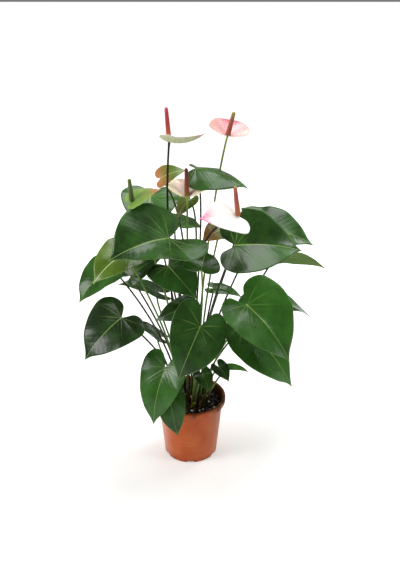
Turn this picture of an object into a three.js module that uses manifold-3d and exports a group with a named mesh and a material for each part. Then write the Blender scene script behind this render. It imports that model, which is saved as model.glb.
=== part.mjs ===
// Potted anthurium: glossy heart-shaped leaves and five flowers in a thin-walled plastic nursery pot.
// Millimetres, +Z up. The origin is the centre of the pot's foot, on the surface it stands on.

import * as THREE from "three";
import { mergeVertices } from "three/addons/utils/BufferGeometryUtils.js";
import Module from "manifold-3d";

const wasm = await Module();
wasm.setup();

// Pot
const POT_HEIGHT = 128;
const POT_FOOT_RADIUS = 53;
const POT_RIM_RADIUS = 70;
const POT_WALL = 1.6;
const LIP_HEIGHT = 11;
const LIP_WIDTH = 4.5;
const FLOOR_HEIGHT = 5; // underside of the floor above the surface the pot stands on
const FOOT_RING_WIDTH = 2.4;
const FOOT_NOTCHES = 6;
const FOOT_NOTCH_WIDTH = 16;
const FOOT_NOTCH_HEIGHT = 3;
const HUB_RADIUS = 12; // flat pad under the middle of the floor, level with the foot ring
const DRAIN_HOLES = 8;
const DRAIN_RADIUS = 4;
const DRAIN_CIRCLE = 34;
const POT_SIDES = 36;

// Soil and plant
const HEADSPACE = 14; // soil surface below the rim, for watering
const PLANT_HEIGHT = 593; // soil surface to the top of the tallest flower
const MODELLED_HEIGHT = 593; // the plant's own sizes below are for this height, and it grows as a whole
const ROOTSTOCK_RADIUS = 7;
const ROOTSTOCK_HEIGHT = 26;
const LEAF_THICKNESS = 1.2;
const SPATHE_THICKNESS = 1.2;
const LEAF_STALK_RADIUS = 1.9;
const FLOWER_STALK_RADIUS = 2.2;
const SPADIX_RADIUS = 4.5;
const GAP = 0.3; // between pieces that touch
const STALK_RISE = 0.4; // how far a stalk goes straight up from the soil, as a share of its reach
const STALK_APPROACH = 0.16; // and how far it comes square on to its blade
const STALK_SIDES = 6;

const SOIL_TOP = POT_HEIGHT - HEADSPACE;

// Half of a heart-shaped blade, from the tip round to the notch where the stalk joins, for a blade of length 1
const HEART = new THREE.SplineCurve([
  new THREE.Vector2(0, 1),
  new THREE.Vector2(0.07, 0.88),
  new THREE.Vector2(0.24, 0.69),
  new THREE.Vector2(0.41, 0.42),
  new THREE.Vector2(0.5, 0.13),
  new THREE.Vector2(0.49, -0.12),
  new THREE.Vector2(0.4, -0.3),
  new THREE.Vector2(0.26, -0.37),
  new THREE.Vector2(0.13, -0.31),
  new THREE.Vector2(0.04, -0.1),
]);
const HALF_STEPS = 8;
const RINGS = 2;

// Shape of a blade: width, and the rest, as shares of its length
const LEAF_SHAPE = {
  width: 1,
  back: 1, // the lobes behind the stalk
  arch: 0.1, // along the blade
  lobes: 0.1, // lift of the lobes
  fold: 0.25, // a vee along the midrib
  curl: 0.06, // drop of the edges
  wave: 0.015, // ripple of the rim
  skew: 0, // one side slipped toward the tip
};
const SPATHE_SHAPE = {
  ...LEAF_SHAPE,
  width: 0.95,
  back: 0.8,
  arch: 0.05,
  lobes: 0.04,
  fold: 0.12,
  curl: 0.02,
  wave: 0.01,
};
const RIPPLES = 5;
const VEE_ROUNDING = 0.15; // of the vee's bottom, as a share of the half width

const DARK_GREEN = "#1d4a24";
const FRESH_GREEN = "#3c7a2c";
const YELLOW_GREEN = "#9dbb3a";
const BRONZE = "#6b5a33";

// Leaves. root is where the stalk leaves the soil, as a distance from the pot's axis and a bearing in degrees.
// at is where the stalk joins the blade, tip is the blade's point, and faces is the way its upper side looks.
// lean moves the lower part of a stalk sideways and knee the upper part, so that it passes its neighbours.
// Heights are above the soil surface, and shape changes the shares in LEAF_SHAPE.
const LEAVES = [
  {
    name: "upper_left", root: [17, 228], lean: [-6, 6], knee: [20, 54],
    at: [-33, -95, 391], tip: [-129, -145, 371], faces: [-0.2, -0.62, 0.76],
    shape: { fold: 0.45, width: 1.2, skew: 0.25 },
  },
  {
    name: "back_upper_left", root: [11, 150],
    at: [-71, 50, 415], tip: [-76, -20, 362], faces: [0, -0.7, 0.7],
    shape: { back: 0.7, width: 1.2 },
  },
  {
    name: "far_left", root: [23, 170],
    at: [-149, 20, 286], tip: [-206, -15, 229], faces: [-0.6, -0.6, 0.5],
    shape: { back: 0.6 },
  },
  {
    name: "centre_dark", root: [17, 260],
    at: [-36, -75, 331], tip: [14, -110, 284], faces: [-0.1, -0.75, 0.65],
    shape: { width: 1, back: 0.5, skew: -0.2 },
  },
  {
    name: "upper_right", root: [17, 312],
    at: [79, -90, 376], tip: [193, -75, 359], faces: [0, -0.65, 0.76],
    shape: { fold: 0.5, width: 1.05, back: 0.65 },
  },
  {
    name: "right_back", root: [17, 10],
    at: [126, 35, 358], tip: [228, 15, 333], faces: [0.2, -0.5, 0.85],
  },
  {
    name: "top_centre", root: [11, 60], knee: [34, 34],
    at: [14, 8, 482], tip: [102, -36, 457], faces: [0.1, -0.35, 0.93],
    shape: { arch: 0.08, width: 0.8, back: 0.3, fold: -0.25, skew: 0.5 },
  },
  {
    name: "low_left", root: [23, 196],
    at: [-124, -55, 219], tip: [-189, -95, 154], faces: [-0.5, -0.75, 0.45],
    shape: { width: 1.12, back: 0.6, fold: 0.2 },
  },
  {
    name: "front_left", root: [29, 238],
    at: [-45, -85, 131], tip: [-67, -112, 25], faces: [-0.45, -0.85, 0.3],
    shape: { width: 0.8, back: 0.7 },
  },
  {
    name: "front_centre", root: [29, 280],
    at: [19, -95, 222], tip: [-20, -124, 130], faces: [-0.1, -0.9, 0.4],
    shape: { width: 0.97, skew: -0.15 },
  },
  {
    name: "mid_right", root: [23, 332], lean: [-4, -30], knee: [-14, -6],
    at: [103, -70, 253], tip: [181, -100, 153], faces: [0.45, -0.75, 0.7],
    shape: { fold: 0.5, back: 0.7 },
  },
  {
    name: "low_right", root: [29, 340],
    at: [99, -25, 190], tip: [195, -50, 66], faces: [0.5, -0.7, 0.5],
    shape: { fold: 0.35, back: 0.5, width: 0.75, skew: 0.3 },
  },
];

const SMALL_LEAVES = [
  {
    name: "young_left", root: [23, 214], knee: [0, -20],
    at: [-108, -62, 352], tip: [-163, -105, 311], faces: [-0.4, -0.7, 0.6],
    shape: { width: 1, back: 0.7 }, colour: YELLOW_GREEN,
  },
  {
    name: "left_under", root: [17, 196],
    at: [-106, -25, 290], tip: [-44, 2, 316], faces: [0, -0.5, 0.85],
    shape: { width: 0.7, back: 0.5 },
  },
  {
    name: "left_thin", root: [17, 140],
    at: [-65, 55, 219], tip: [-141, 45, 237], faces: [0, -0.1, 1],
    shape: { width: 0.7 },
  },
  {
    name: "centre_bright", root: [23, 285], lean: [10, 0], knee: [8, 0],
    at: [21, -100, 335], tip: [30, -57, 350], faces: [0, -0.4, 0.9],
    shape: { width: 1.35, back: 0.4 },
  },
  {
    name: "right_under", root: [23, 30], lean: [0, 34],
    at: [155, 40, 298], tip: [262, 50, 268], faces: [0.1, 0.75, 0.65],
    shape: { width: 0.5, fold: 0.1 }, colour: FRESH_GREEN,
  },
  {
    name: "bronze_top", root: [11, 105], knee: [36, -38],
    at: [-52, 5, 461], tip: [-11, 5, 478], faces: [-0.1, -0.6, 0.8],
    shape: { width: 1.1 }, colour: BRONZE,
  },
  {
    name: "bronze_peach", root: [17, 335],
    at: [55, -20, 376], tip: [22, -50, 366], faces: [0, -0.6, 0.7],
    colour: BRONZE,
  },
  {
    name: "bronze_small", root: [11, 285], lean: [-6, -4],
    at: [0, 0, 425], tip: [-20, -15, 398], faces: [-0.4, -0.6, 0.7],
    colour: BRONZE,
  },
  {
    name: "low_left_back", root: [29, 166],
    at: [-65, 42, 129], tip: [-122, 42, 156], faces: [0, -0.1, 1],
    shape: { width: 0.6 },
  },
  {
    name: "over_rim", root: [35, 262],
    at: [-26, -78, 81], tip: [-23, -94, -16], faces: [0, -1, 0.3],
    shape: { width: 0.6, back: 0.6 },
  },
  {
    name: "centre_low_back", root: [23, 255],
    at: [2, -62, 246], tip: [-62, -75, 223], faces: [0, -0.6, 0.7],
    shape: { width: 0.7, back: 0.5 },
  },
  {
    name: "back_right", root: [23, 12],
    at: [155, 80, 190], tip: [256, 80, 132], faces: [0.3, 0.1, 0.95],
    shape: { width: 0.8 },
  },
  {
    name: "small_right", root: [17, 35],
    at: [46, 30, 238], tip: [101, 15, 224], faces: [0.1, -0.3, 0.95],
    shape: { width: 0.55, back: 0.75 },
  },
  {
    name: "basal_right", root: [35, 322],
    at: [55, -45, 108], tip: [74, -60, 84], faces: [0.3, -0.5, 0.8],
  },
  {
    name: "basal_centre", root: [35, 285],
    at: [24, -54, 97], tip: [37, -72, 70], faces: [0.1, -0.5, 0.8],
  },
  {
    name: "rear_left", root: [17, 110],
    at: [-30, 100, 340], tip: [-88, 178, 325], faces: [-0.2, 0.5, 0.85],
  },
  {
    name: "rear_right", root: [17, 62],
    at: [88, 100, 325], tip: [140, 180, 305], faces: [0.2, 0.5, 0.85],
  },
  {
    name: "rear_centre", root: [23, 85],
    at: [4, 62, 282], tip: [22, 135, 270], faces: [0, 0.2, 1],
    shape: { width: 0.7, back: 0.4 },
  },
];

// Flowers. at, tip and faces place the spathe, and spike is the top of the spadix.
const FLOWERS = [
  {
    name: "top_left", root: [11, 195], lean: [-30, -12], knee: [-30, 8],
    at: [-32, -30, 536], tip: [29, -25, 551], faces: [0, 0.3, 0.95], spike: [-36, -30, 593],
    shape: { arch: -0.08, back: 0.6 }, spathe: "#dfe3c0", spadix: "#b4463a", stalk: "#2a1d18",
  },
  {
    name: "top_right", root: [11, 15], knee: [0, 54],
    at: [66, 0, 540], tip: [75, 45, 557], faces: [0.15, -0.3, 0.9], spike: [76, 0, 579],
    shape: { fold: 0.45, back: 0.3, width: 1.4 }, spathe: "#e9a3ac", spadix: "#9a4a3c", stalk: "#8f9c3f",
  },
  {
    name: "middle", root: [11, 240],
    at: [-3, -35, 444], tip: [0, 16, 455], faces: [0, -0.3, 0.9], spike: [-4, -40, 494],
    shape: { fold: 0.4, back: 0.3, width: 1.15 }, spathe: "#efcfc4", spadix: "#8c3a34", stalk: "#5d7a33",
  },
  {
    name: "left", root: [17, 170],
    at: [-95, -60, 443], tip: [-46, -50, 461], faces: [0, -0.2, 1], spike: [-98, -60, 482],
    shape: { back: 0.5 }, spathe: "#7f9a4a", spadix: "#7d9440", stalk: "#6d8a3c",
  },
  {
    name: "white", root: [11, 330], knee: [-80, 40],
    at: [81, -100, 432], tip: [17, -130, 437], faces: [0, -0.5, 0.85], spike: [75, -100, 482],
    shape: { back: 0.5 }, spathe: "#f3e9e6", spadix: "#a8584e", stalk: "#2a1d18",
  },
];

const plant = new THREE.Group();
plant.position.z = SOIL_TOP;
plant.scale.setScalar(PLANT_HEIGHT / MODELLED_HEIGHT);

function material(colour, roughness) {
  return new THREE.MeshStandardMaterial({ color: colour, roughness, metalness: 0, side: THREE.FrontSide });
}

function named(name, geometry, colour, roughness) {
  const mesh = new THREE.Mesh(geometry, material(colour, roughness));
  mesh.name = name;
  return mesh;
}

function toSolid(geometry) {
  const bare = new THREE.BufferGeometry();
  const flat = geometry.index ? geometry.toNonIndexed() : geometry;
  bare.setAttribute("position", flat.getAttribute("position"));
  const merged = mergeVertices(bare, 1e-4);
  const mesh = new wasm.Mesh({
    numProp: 3,
    vertProperties: new Float32Array(merged.attributes.position.array),
    triVerts: new Uint32Array(merged.index.array),
  });
  return new wasm.Manifold(mesh);
}

function toGeometry(solid) {
  const mesh = solid.getMesh();
  const geometry = new THREE.BufferGeometry();
  geometry.setAttribute("position", new THREE.BufferAttribute(new Float32Array(mesh.vertProperties), 3));
  geometry.setIndex(new THREE.BufferAttribute(new Uint32Array(mesh.triVerts), 1));
  const faceted = geometry.toNonIndexed();
  faceted.computeVertexNormals();
  return faceted;
}

// Turned about Z from a closed profile of [radius, height] pairs, listed anticlockwise
function turned(profile, sides) {
  const points = profile.map(([radius, height]) => new THREE.Vector2(radius, height));
  const lathe = new THREE.LatheGeometry(points, sides);
  return lathe.rotateX(Math.PI / 2);
}

// The outside of the tapered wall at a height
function wallRadius(height) {
  const top = POT_RIM_RADIUS - LIP_WIDTH;
  return POT_FOOT_RADIUS + ((top - POT_FOOT_RADIUS) * height) / POT_HEIGHT;
}

function potGeometry() {
  const lipFoot = POT_HEIGHT - LIP_HEIGHT;
  const inner = (height) => wallRadius(height) - POT_WALL;
  const floorTop = FLOOR_HEIGHT + POT_WALL;
  const body = turned(
    [
      [0, FLOOR_HEIGHT],
      [POT_FOOT_RADIUS - FOOT_RING_WIDTH, FLOOR_HEIGHT],
      [POT_FOOT_RADIUS - FOOT_RING_WIDTH, 0],
      [POT_FOOT_RADIUS, 0],
      [wallRadius(lipFoot), lipFoot],
      [POT_RIM_RADIUS - 1, lipFoot],
      [POT_RIM_RADIUS, lipFoot + 1],
      [POT_RIM_RADIUS, POT_HEIGHT - 2],
      [POT_RIM_RADIUS - 1.2, POT_HEIGHT],
      [inner(POT_HEIGHT) + 1.2, POT_HEIGHT],
      [inner(POT_HEIGHT - 2), POT_HEIGHT - 2],
      [inner(floorTop), floorTop],
      [0, floorTop],
    ],
    POT_SIDES,
  );
  let pot = toSolid(body);
  const hub = new THREE.CylinderGeometry(HUB_RADIUS, HUB_RADIUS, FLOOR_HEIGHT + POT_WALL / 2, 24);
  hub.rotateX(Math.PI / 2).translate(0, 0, (FLOOR_HEIGHT + POT_WALL / 2) / 2);
  pot = pot.add(toSolid(hub));
  for (let i = 0; i < FOOT_NOTCHES; i++) {
    const angle = -Math.PI / 2 + (i * 2 * Math.PI) / FOOT_NOTCHES;
    const notch = new THREE.BoxGeometry(4 * FOOT_RING_WIDTH, FOOT_NOTCH_WIDTH, 2 * FOOT_NOTCH_HEIGHT);
    notch.translate(POT_FOOT_RADIUS - FOOT_RING_WIDTH / 2, 0, 0).rotateZ(angle);
    pot = pot.subtract(toSolid(notch));
  }
  for (let i = 0; i < DRAIN_HOLES; i++) {
    const angle = ((i + 0.5) * 2 * Math.PI) / DRAIN_HOLES;
    const hole = new THREE.CylinderGeometry(DRAIN_RADIUS, DRAIN_RADIUS, 4 * POT_WALL, 16);
    hole.rotateX(Math.PI / 2).translate(DRAIN_CIRCLE, 0, FLOOR_HEIGHT + POT_WALL / 2).rotateZ(angle);
    pot = pot.subtract(toSolid(hole));
  }
  return toGeometry(pot);
}

// The soil fills the pot's inside, a gap clear of the wall and the floor
function soilGeometry() {
  const bottom = FLOOR_HEIGHT + POT_WALL + GAP;
  const radius = (height) => wallRadius(height) - POT_WALL - 2 * GAP;
  return turned(
    [
      [0, bottom],
      [radius(bottom), bottom],
      [radius(SOIL_TOP), SOIL_TOP],
      [0, SOIL_TOP],
    ],
    POT_SIDES,
  );
}

function rootstockGeometry() {
  const geometry = turned(
    [
      [0, 0],
      [ROOTSTOCK_RADIUS, 0],
      [ROOTSTOCK_RADIUS * 0.8, ROOTSTOCK_HEIGHT * 0.4],
      [ROOTSTOCK_RADIUS * 0.85, ROOTSTOCK_HEIGHT * 0.7],
      [ROOTSTOCK_RADIUS * 0.4, ROOTSTOCK_HEIGHT],
      [0, ROOTSTOCK_HEIGHT],
    ],
    10,
  );
  return geometry.translate(0, 0, GAP);
}

// A blade's own axes: y runs from where the stalk joins to the tip, and z is the way its upper side faces.
// It gives the matrix that places the blade on the plant, and the blade's length.
function bladeFrame({ at, tip, faces }) {
  const origin = new THREE.Vector3(...at);
  const y = new THREE.Vector3(...tip).sub(origin);
  const length = y.length();
  y.normalize();
  const z = new THREE.Vector3(...faces);
  z.addScaledVector(y, -z.dot(y)).normalize();
  const x = new THREE.Vector3().crossVectors(y, z);
  return { matrix: new THREE.Matrix4().makeBasis(x, y, z).setPosition(origin), length, normal: z, origin };
}

// Height of a blade's upper side at x, y in its own axes
function bladeHeight(x, y, length, shape) {
  const along = y / length;
  const across = x / (0.5 * shape.width * length);
  const angle = Math.atan2(x, y);
  const out = Math.min(1, Math.hypot(x, y) / (0.5 * length));
  const arch = shape.arch * 4 * along;
  const bend = along > 0 ? arch * (1 - along) : arch + shape.lobes * 7 * along ** 2;
  const vee = shape.fold * 0.5 * shape.width * (Math.hypot(across, VEE_ROUNDING) - VEE_ROUNDING);
  const droop = -shape.curl * across ** 2;
  const ripple = shape.wave * out ** 2 * Math.sin(RIPPLES * angle);
  return length * (bend + vee + droop + ripple);
}

// A closed thin solid of a heart-shaped blade, in its own axes
function bladeGeometry(length, shape, thickness) {
  const half = HEART.getPoints(HALF_STEPS);
  const placed = (p, side) => {
    const x = side * p.x * shape.width;
    const y = p.y < 0 ? p.y * shape.back : p.y;
    return [x * length, (y + shape.skew * x) * length];
  };
  const left = half.map((p) => placed(p, -1)).reverse();
  const right = half.slice(1).map((p) => placed(p, 1));
  const outline = [...left, ...right];
  const top = [[0, 0]];
  for (const [x, y] of outline) {
    for (let ring = 1; ring <= RINGS; ring++) {
      const share = ring / RINGS;
      top.push([x * share, y * share]);
    }
  }
  const positions = [];
  for (const [x, y] of top) positions.push(x, y, bladeHeight(x, y, length, shape));
  for (const [x, y] of top) positions.push(x, y, bladeHeight(x, y, length, shape) - thickness);

  const under = top.length;
  const id = (spoke, ring) => (ring === 0 ? 0 : 1 + spoke * RINGS + ring - 1);
  const faces = [];
  const face = (a, b, c) => {
    faces.push(a, b, c);
    faces.push(under + a, under + c, under + b);
  };
  for (let spoke = 0; spoke < outline.length - 1; spoke++) {
    face(0, id(spoke + 1, 1), id(spoke, 1));
    for (let ring = 1; ring < RINGS; ring++) {
      face(id(spoke, ring), id(spoke + 1, ring), id(spoke + 1, ring + 1));
      face(id(spoke, ring), id(spoke + 1, ring + 1), id(spoke, ring + 1));
    }
  }
  const edge = [];
  for (let ring = 0; ring <= RINGS; ring++) edge.push(id(0, ring));
  for (let spoke = 1; spoke < outline.length; spoke++) edge.push(id(spoke, RINGS));
  for (let ring = RINGS - 1; ring > 0; ring--) edge.push(id(outline.length - 1, ring));
  edge.forEach((a, i) => {
    const b = edge[(i + 1) % edge.length];
    faces.push(a, b, under + b);
    faces.push(a, under + b, under + a);
  });
  const geometry = new THREE.BufferGeometry();
  geometry.setAttribute("position", new THREE.Float32BufferAttribute(positions, 3));
  geometry.setIndex(faces);
  const faceted = geometry.toNonIndexed();
  faceted.computeVertexNormals();
  return faceted;
}

// A stalk that leaves the soil upright and comes up to the underside of a blade. sunk is how far its end goes
// into the blade; at 0 it ends a gap below, low enough for a slanting end to stay clear.
function stalkGeometry(piece, frame, thickness, radius, steps, sunk) {
  const [distance, bearing] = piece.root;
  const [leanX, leanY] = piece.lean ?? [0, 0];
  const [kneeX, kneeY] = piece.knee ?? [0, 0];
  const turn = THREE.MathUtils.degToRad(bearing);
  const foot = new THREE.Vector3(distance * Math.cos(turn), distance * Math.sin(turn), 0);
  const reach = foot.distanceTo(frame.origin);
  const rise = foot.clone().add(new THREE.Vector3(leanX, leanY, reach * STALK_RISE));
  const tilt = rise.clone().sub(foot).angleTo(new THREE.Vector3(0, 0, 1));
  const start = foot.clone().setZ(GAP + radius * Math.sin(tilt));
  const approach = frame.origin.clone().addScaledVector(frame.normal, -reach * STALK_APPROACH);
  approach.add(new THREE.Vector3(kneeX, kneeY, 0));
  const slant = frame.origin.clone().sub(approach).angleTo(frame.normal);
  const below = thickness + (sunk > 0 ? -sunk : 1.5 * GAP + radius * Math.sin(slant));
  const end = frame.origin.clone().addScaledVector(frame.normal, -below);
  const path = new THREE.CubicBezierCurve3(start, rise, approach, end);
  const section = new THREE.Shape(
    Array.from({ length: STALK_SIDES }, (_, i) => {
      const angle = (i * 2 * Math.PI) / STALK_SIDES;
      return new THREE.Vector2(radius * Math.cos(angle), radius * Math.sin(angle));
    }),
  );
  return new THREE.ExtrudeGeometry(section, { steps, extrudePath: path, bevelEnabled: false });
}

function spadixGeometry(height) {
  return turned(
    [
      [0, 0],
      [SPADIX_RADIUS, 0],
      [SPADIX_RADIUS * 0.93, height * 0.4],
      [SPADIX_RADIUS * 0.74, height * 0.85],
      [SPADIX_RADIUS * 0.45, height * 0.97],
      [0, height],
    ],
    10,
  );
}

// A big leaf: a blade and a stalk that ends a gap below it
function addLeaf(leaf) {
  const shape = { ...LEAF_SHAPE, ...leaf.shape };
  const frame = bladeFrame(leaf);
  const blade = named(
    `leaf_${leaf.name}_blade`,
    bladeGeometry(frame.length, shape, LEAF_THICKNESS),
    leaf.colour ?? DARK_GREEN,
    0.3,
  );
  blade.applyMatrix4(frame.matrix);
  const stalk = stalkGeometry(leaf, frame, LEAF_THICKNESS, LEAF_STALK_RADIUS, 6, 0);
  plant.add(blade, named(`leaf_${leaf.name}_stalk`, stalk, FRESH_GREEN, 0.5));
}

// A small or hidden leaf: the stalk runs into the blade, and both are one piece
function addSmallLeaf(leaf) {
  const shape = { ...LEAF_SHAPE, ...leaf.shape };
  const frame = bladeFrame(leaf);
  const blade = bladeGeometry(frame.length, shape, LEAF_THICKNESS).applyMatrix4(frame.matrix);
  const stalk = stalkGeometry(leaf, frame, LEAF_THICKNESS, LEAF_STALK_RADIUS, 6, LEAF_THICKNESS / 2);
  const leafSolid = toSolid(blade).add(toSolid(stalk));
  plant.add(named(`leaf_${leaf.name}`, toGeometry(leafSolid), leaf.colour ?? DARK_GREEN, 0.35));
}

function addFlower(flower) {
  const shape = { ...SPATHE_SHAPE, ...flower.shape };
  const frame = bladeFrame(flower);
  const spathe = named(
    `flower_${flower.name}_spathe`,
    bladeGeometry(frame.length, shape, SPATHE_THICKNESS),
    flower.spathe,
    0.35,
  );
  spathe.applyMatrix4(frame.matrix);
  const stalk = stalkGeometry(flower, frame, SPATHE_THICKNESS, FLOWER_STALK_RADIUS, 7, 0);

  // The spadix stands on the spathe, raised enough for its leaning foot to clear the upper side
  const spike = new THREE.Vector3(...flower.spike);
  const direction = spike.clone().sub(frame.origin).normalize();
  const lean = direction.angleTo(frame.normal);
  const raised = GAP + SPADIX_RADIUS * (Math.sin(lean) + 0.6 * shape.fold);
  const foot = frame.origin.clone().addScaledVector(frame.normal, raised);
  const spadix = named(
    `flower_${flower.name}_spadix`,
    spadixGeometry(spike.distanceTo(foot)),
    flower.spadix,
    0.6,
  );
  spadix.position.copy(foot);
  spadix.quaternion.setFromUnitVectors(new THREE.Vector3(0, 0, 1), direction);
  plant.add(spathe, named(`flower_${flower.name}_stalk`, stalk, flower.stalk, 0.5), spadix);
}

const group = new THREE.Group();
group.add(named("pot", potGeometry(), "#a9552f", 0.45));
group.add(named("soil", soilGeometry(), "#241a12", 0.95));
plant.add(named("rootstock", rootstockGeometry(), "#5a5a2c", 0.8));
LEAVES.forEach(addLeaf);
SMALL_LEAVES.forEach(addSmallLeaf);
FLOWERS.forEach(addFlower);
group.add(plant);

export default group;
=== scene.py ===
# Potted anthurium: heart-shaped leaves and waxy flowers in a thin plastic nursery pot.
# Metres, z up, the pot stands on z = 0 and its axis is the z axis. Places in the tables are in millimetres.
import math
import random

import bpy
import numpy as np
from mathutils import Matrix, Vector, noise


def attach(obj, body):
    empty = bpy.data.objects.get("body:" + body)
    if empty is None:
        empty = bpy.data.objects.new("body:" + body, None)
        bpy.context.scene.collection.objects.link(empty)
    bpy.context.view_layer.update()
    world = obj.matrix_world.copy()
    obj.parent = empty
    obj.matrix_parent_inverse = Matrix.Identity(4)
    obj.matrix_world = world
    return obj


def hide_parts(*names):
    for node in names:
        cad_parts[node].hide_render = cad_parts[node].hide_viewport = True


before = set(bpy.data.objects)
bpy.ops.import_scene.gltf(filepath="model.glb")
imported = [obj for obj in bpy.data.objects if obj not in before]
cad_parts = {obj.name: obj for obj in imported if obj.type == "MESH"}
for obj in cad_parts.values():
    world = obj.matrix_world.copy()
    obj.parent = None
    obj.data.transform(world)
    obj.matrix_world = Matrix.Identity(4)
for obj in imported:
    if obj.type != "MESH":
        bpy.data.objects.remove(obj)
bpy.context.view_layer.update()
scene = bpy.context.scene
mm = 0.001

# camera: a little above the flowers, looking down on the pot
camera = {
    "place": (0.019, -1.2, 0.95),
    "downward": 25.7,  # degrees below the horizon
    "lens": 45.2,
}
lens = bpy.data.cameras.new("camera")
lens.lens = camera["lens"]
lens.sensor_width = 36
eye = bpy.data.objects.new("camera", lens)
eye.location = camera["place"]
eye.rotation_euler = (math.radians(90 - camera["downward"]), 0, 0)
scene.collection.objects.link(eye)
scene.camera = eye


def linearColour(hexCode):
    parts = [int(hexCode[i:i + 2], 16) / 255 for i in (1, 3, 5)]
    return [p / 12.92 if p <= 0.04045 else ((p + 0.055) / 1.055) ** 2.4 for p in parts] + [1.0]


# settings that many nodes share
smooth = {"interpolation_type": "SMOOTHSTEP"}
rgba = {"data_type": "RGBA"}
rgbaTimes = {"data_type": "RGBA", "blend_type": "MULTIPLY"}
times = {"operation": "MULTIPLY"}
timesPlus = {"operation": "MULTIPLY_ADD"}
larger = {"operation": "MAXIMUM"}
pingPong = {"operation": "PINGPONG"}


def newMaterial(name):
    # a material without nodes, and the function that adds one node to it and gives one of its outputs
    material = bpy.data.materials.new(name)
    material.use_nodes = True
    tree = material.node_tree
    tree.nodes.clear()

    def add(kind, settings=None, inputs=None, output=0):
        node = tree.nodes.new("ShaderNode" + kind)
        for key, value in (settings or {}).items():
            setattr(node, key, value)
        for key, value in (inputs or {}).items():
            if isinstance(value, bpy.types.NodeSocket):
                tree.links.new(value, node.inputs[key])
            else:
                node.inputs[key].default_value = value
        return node.outputs[output] if node.outputs else None

    return material, add


# soft studio: a pale floor and wall of light, one big soft box above and one on the left
studio = {
    "floor": "#ececea",
    "floorSize": 12,  # m from the pot to each edge
    "glow": "#ffffff",
    "floorGlow": (0.3, 0.85),  # near the pot, and further back where the lamps no longer reach
    "glowFrom": (0.3, 1.3),  # m behind the pot
    "world": "#ffffff",
    "worldStrength": 0.2,
    "lights": {
        "overhead": {"place": (0.15, 0.35, 1.9), "aim": (0, 0, 0.5), "size": 1.1, "power": 27},
        "left": {"place": (-1.5, -0.7, 1.35), "aim": (0, 0, 0.35), "size": 0.8, "power": 24},
        "rightBack": {"place": (1.2, 1.0, 1.2), "aim": (0, 0, 0.5), "size": 0.6, "power": 8},
        "right": {"place": (1.15, -0.42, 1.3), "aim": (0.1, 0, 0.35), "size": 0.28, "power": 6},
    },
}


def buildStudio():
    mesh = bpy.data.meshes.new("floor")
    edge = studio["floorSize"]
    corners = [(-edge, -edge, 0), (edge, -edge, 0), (edge, edge, 0), (-edge, edge, 0)]
    mesh.from_pydata(corners, [], [(0, 1, 2, 3)])
    floor = bpy.data.objects.new("floor", mesh)
    scene.collection.objects.link(floor)
    material, add = newMaterial("matt white floor paint")
    place = add("TexCoord", None, None, 3)
    back = add("SeparateXYZ", None, {0: place}, 1)
    (near, far), (dim, bright) = studio["glowFrom"], studio["floorGlow"]
    glow = add("MapRange", smooth, {0: back, 1: near, 2: far, 3: dim, 4: bright})
    skin = add("BsdfPrincipled", None, {
        "Base Color": linearColour(studio["floor"]), "Roughness": 0.8,
        "Emission Color": linearColour(studio["glow"]), "Emission Strength": glow})
    add("OutputMaterial", None, {"Surface": skin})
    mesh.materials.append(material)
    for name, light in studio["lights"].items():
        lamp = bpy.data.lights.new(name, "AREA")
        lamp.size = light["size"]
        lamp.energy = light["power"]
        box = bpy.data.objects.new(name, lamp)
        box.location = light["place"]
        aim = Vector(light["aim"]) - box.location
        box.rotation_euler = aim.to_track_quat("-Z", "Y").to_euler()
        scene.collection.objects.link(box)
    world = bpy.data.worlds.new("studio")
    world.use_nodes = True
    sky = world.node_tree.nodes["Background"]
    sky.inputs["Color"].default_value = linearColour(studio["world"])
    sky.inputs["Strength"].default_value = studio["worldStrength"]
    scene.world = world
    scene.view_settings.view_transform = "Standard"


def makePiece(name, points, faces, materials, slots=None, layers=None, colours=None):
    mesh = bpy.data.meshes.new(name)
    mesh.from_pydata([tuple(p) for p in points], [], faces)
    for material in materials:
        mesh.materials.append(material)
    if slots is not None:
        mesh.polygons.foreach_set("material_index", np.asarray(slots, np.int32))
    corners = np.empty(len(mesh.loops), np.int32)
    mesh.loops.foreach_get("vertex_index", corners)
    for layer, coords in (layers or {}).items():
        mesh.uv_layers.new(name=layer).data.foreach_set("uv", np.asarray(coords, np.float32)[corners].ravel())
    for layer, values in (colours or {}).items():
        attribute = mesh.color_attributes.new(layer, "FLOAT_COLOR", "POINT")
        attribute.data.foreach_set("color", np.asarray(values, np.float32).ravel())
    mesh.polygons.foreach_set("use_smooth", np.ones(len(mesh.polygons), bool))
    mesh.update()
    piece = bpy.data.objects.new(name, mesh)
    scene.collection.objects.link(piece)
    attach(piece, "root")
    return piece


buildStudio()
print("studio and camera ready")


# sizes in millimetres; headspace is from the rim down to the soil surface
pot = {
    "height": 128, "footRadius": 53, "rimRadius": 70, "wall": 1.6,
    "lipHeight": 11, "lipWidth": 4.5, "floor": 5, "footRing": 2.4,
    "notches": 6, "notchWidth": 16, "notchHeight": 3.6,
    "hub": 12, "holes": 8, "holeRadius": 4, "holeCircle": 34,
    "headspace": 14, "innerDarkening": 0.93, "sides": 144,
}
soilTop = pot["height"] - pot["headspace"]

# half of a heart from its tip round to the notch, for a blade of length 1
heart = [
    (0, 1), (0.07, 0.88), (0.24, 0.69), (0.41, 0.42), (0.5, 0.13),
    (0.49, -0.12), (0.4, -0.3), (0.26, -0.37), (0.13, -0.31), (0.04, -0.1),
]
blade = {
    "halfSteps": 56,
    "rings": 20,
    "veeRounding": 0.15,
    "ripples": 5,
    "sideVeins": 9,  # pairs leaving the midrib
    "lobeVeins": 3,  # pairs fanning into each lobe
    "veinAngle": 52,  # degrees from the midrib
    "below": 0.2,  # mm from the end of the stalk down to the upper side
}
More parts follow.
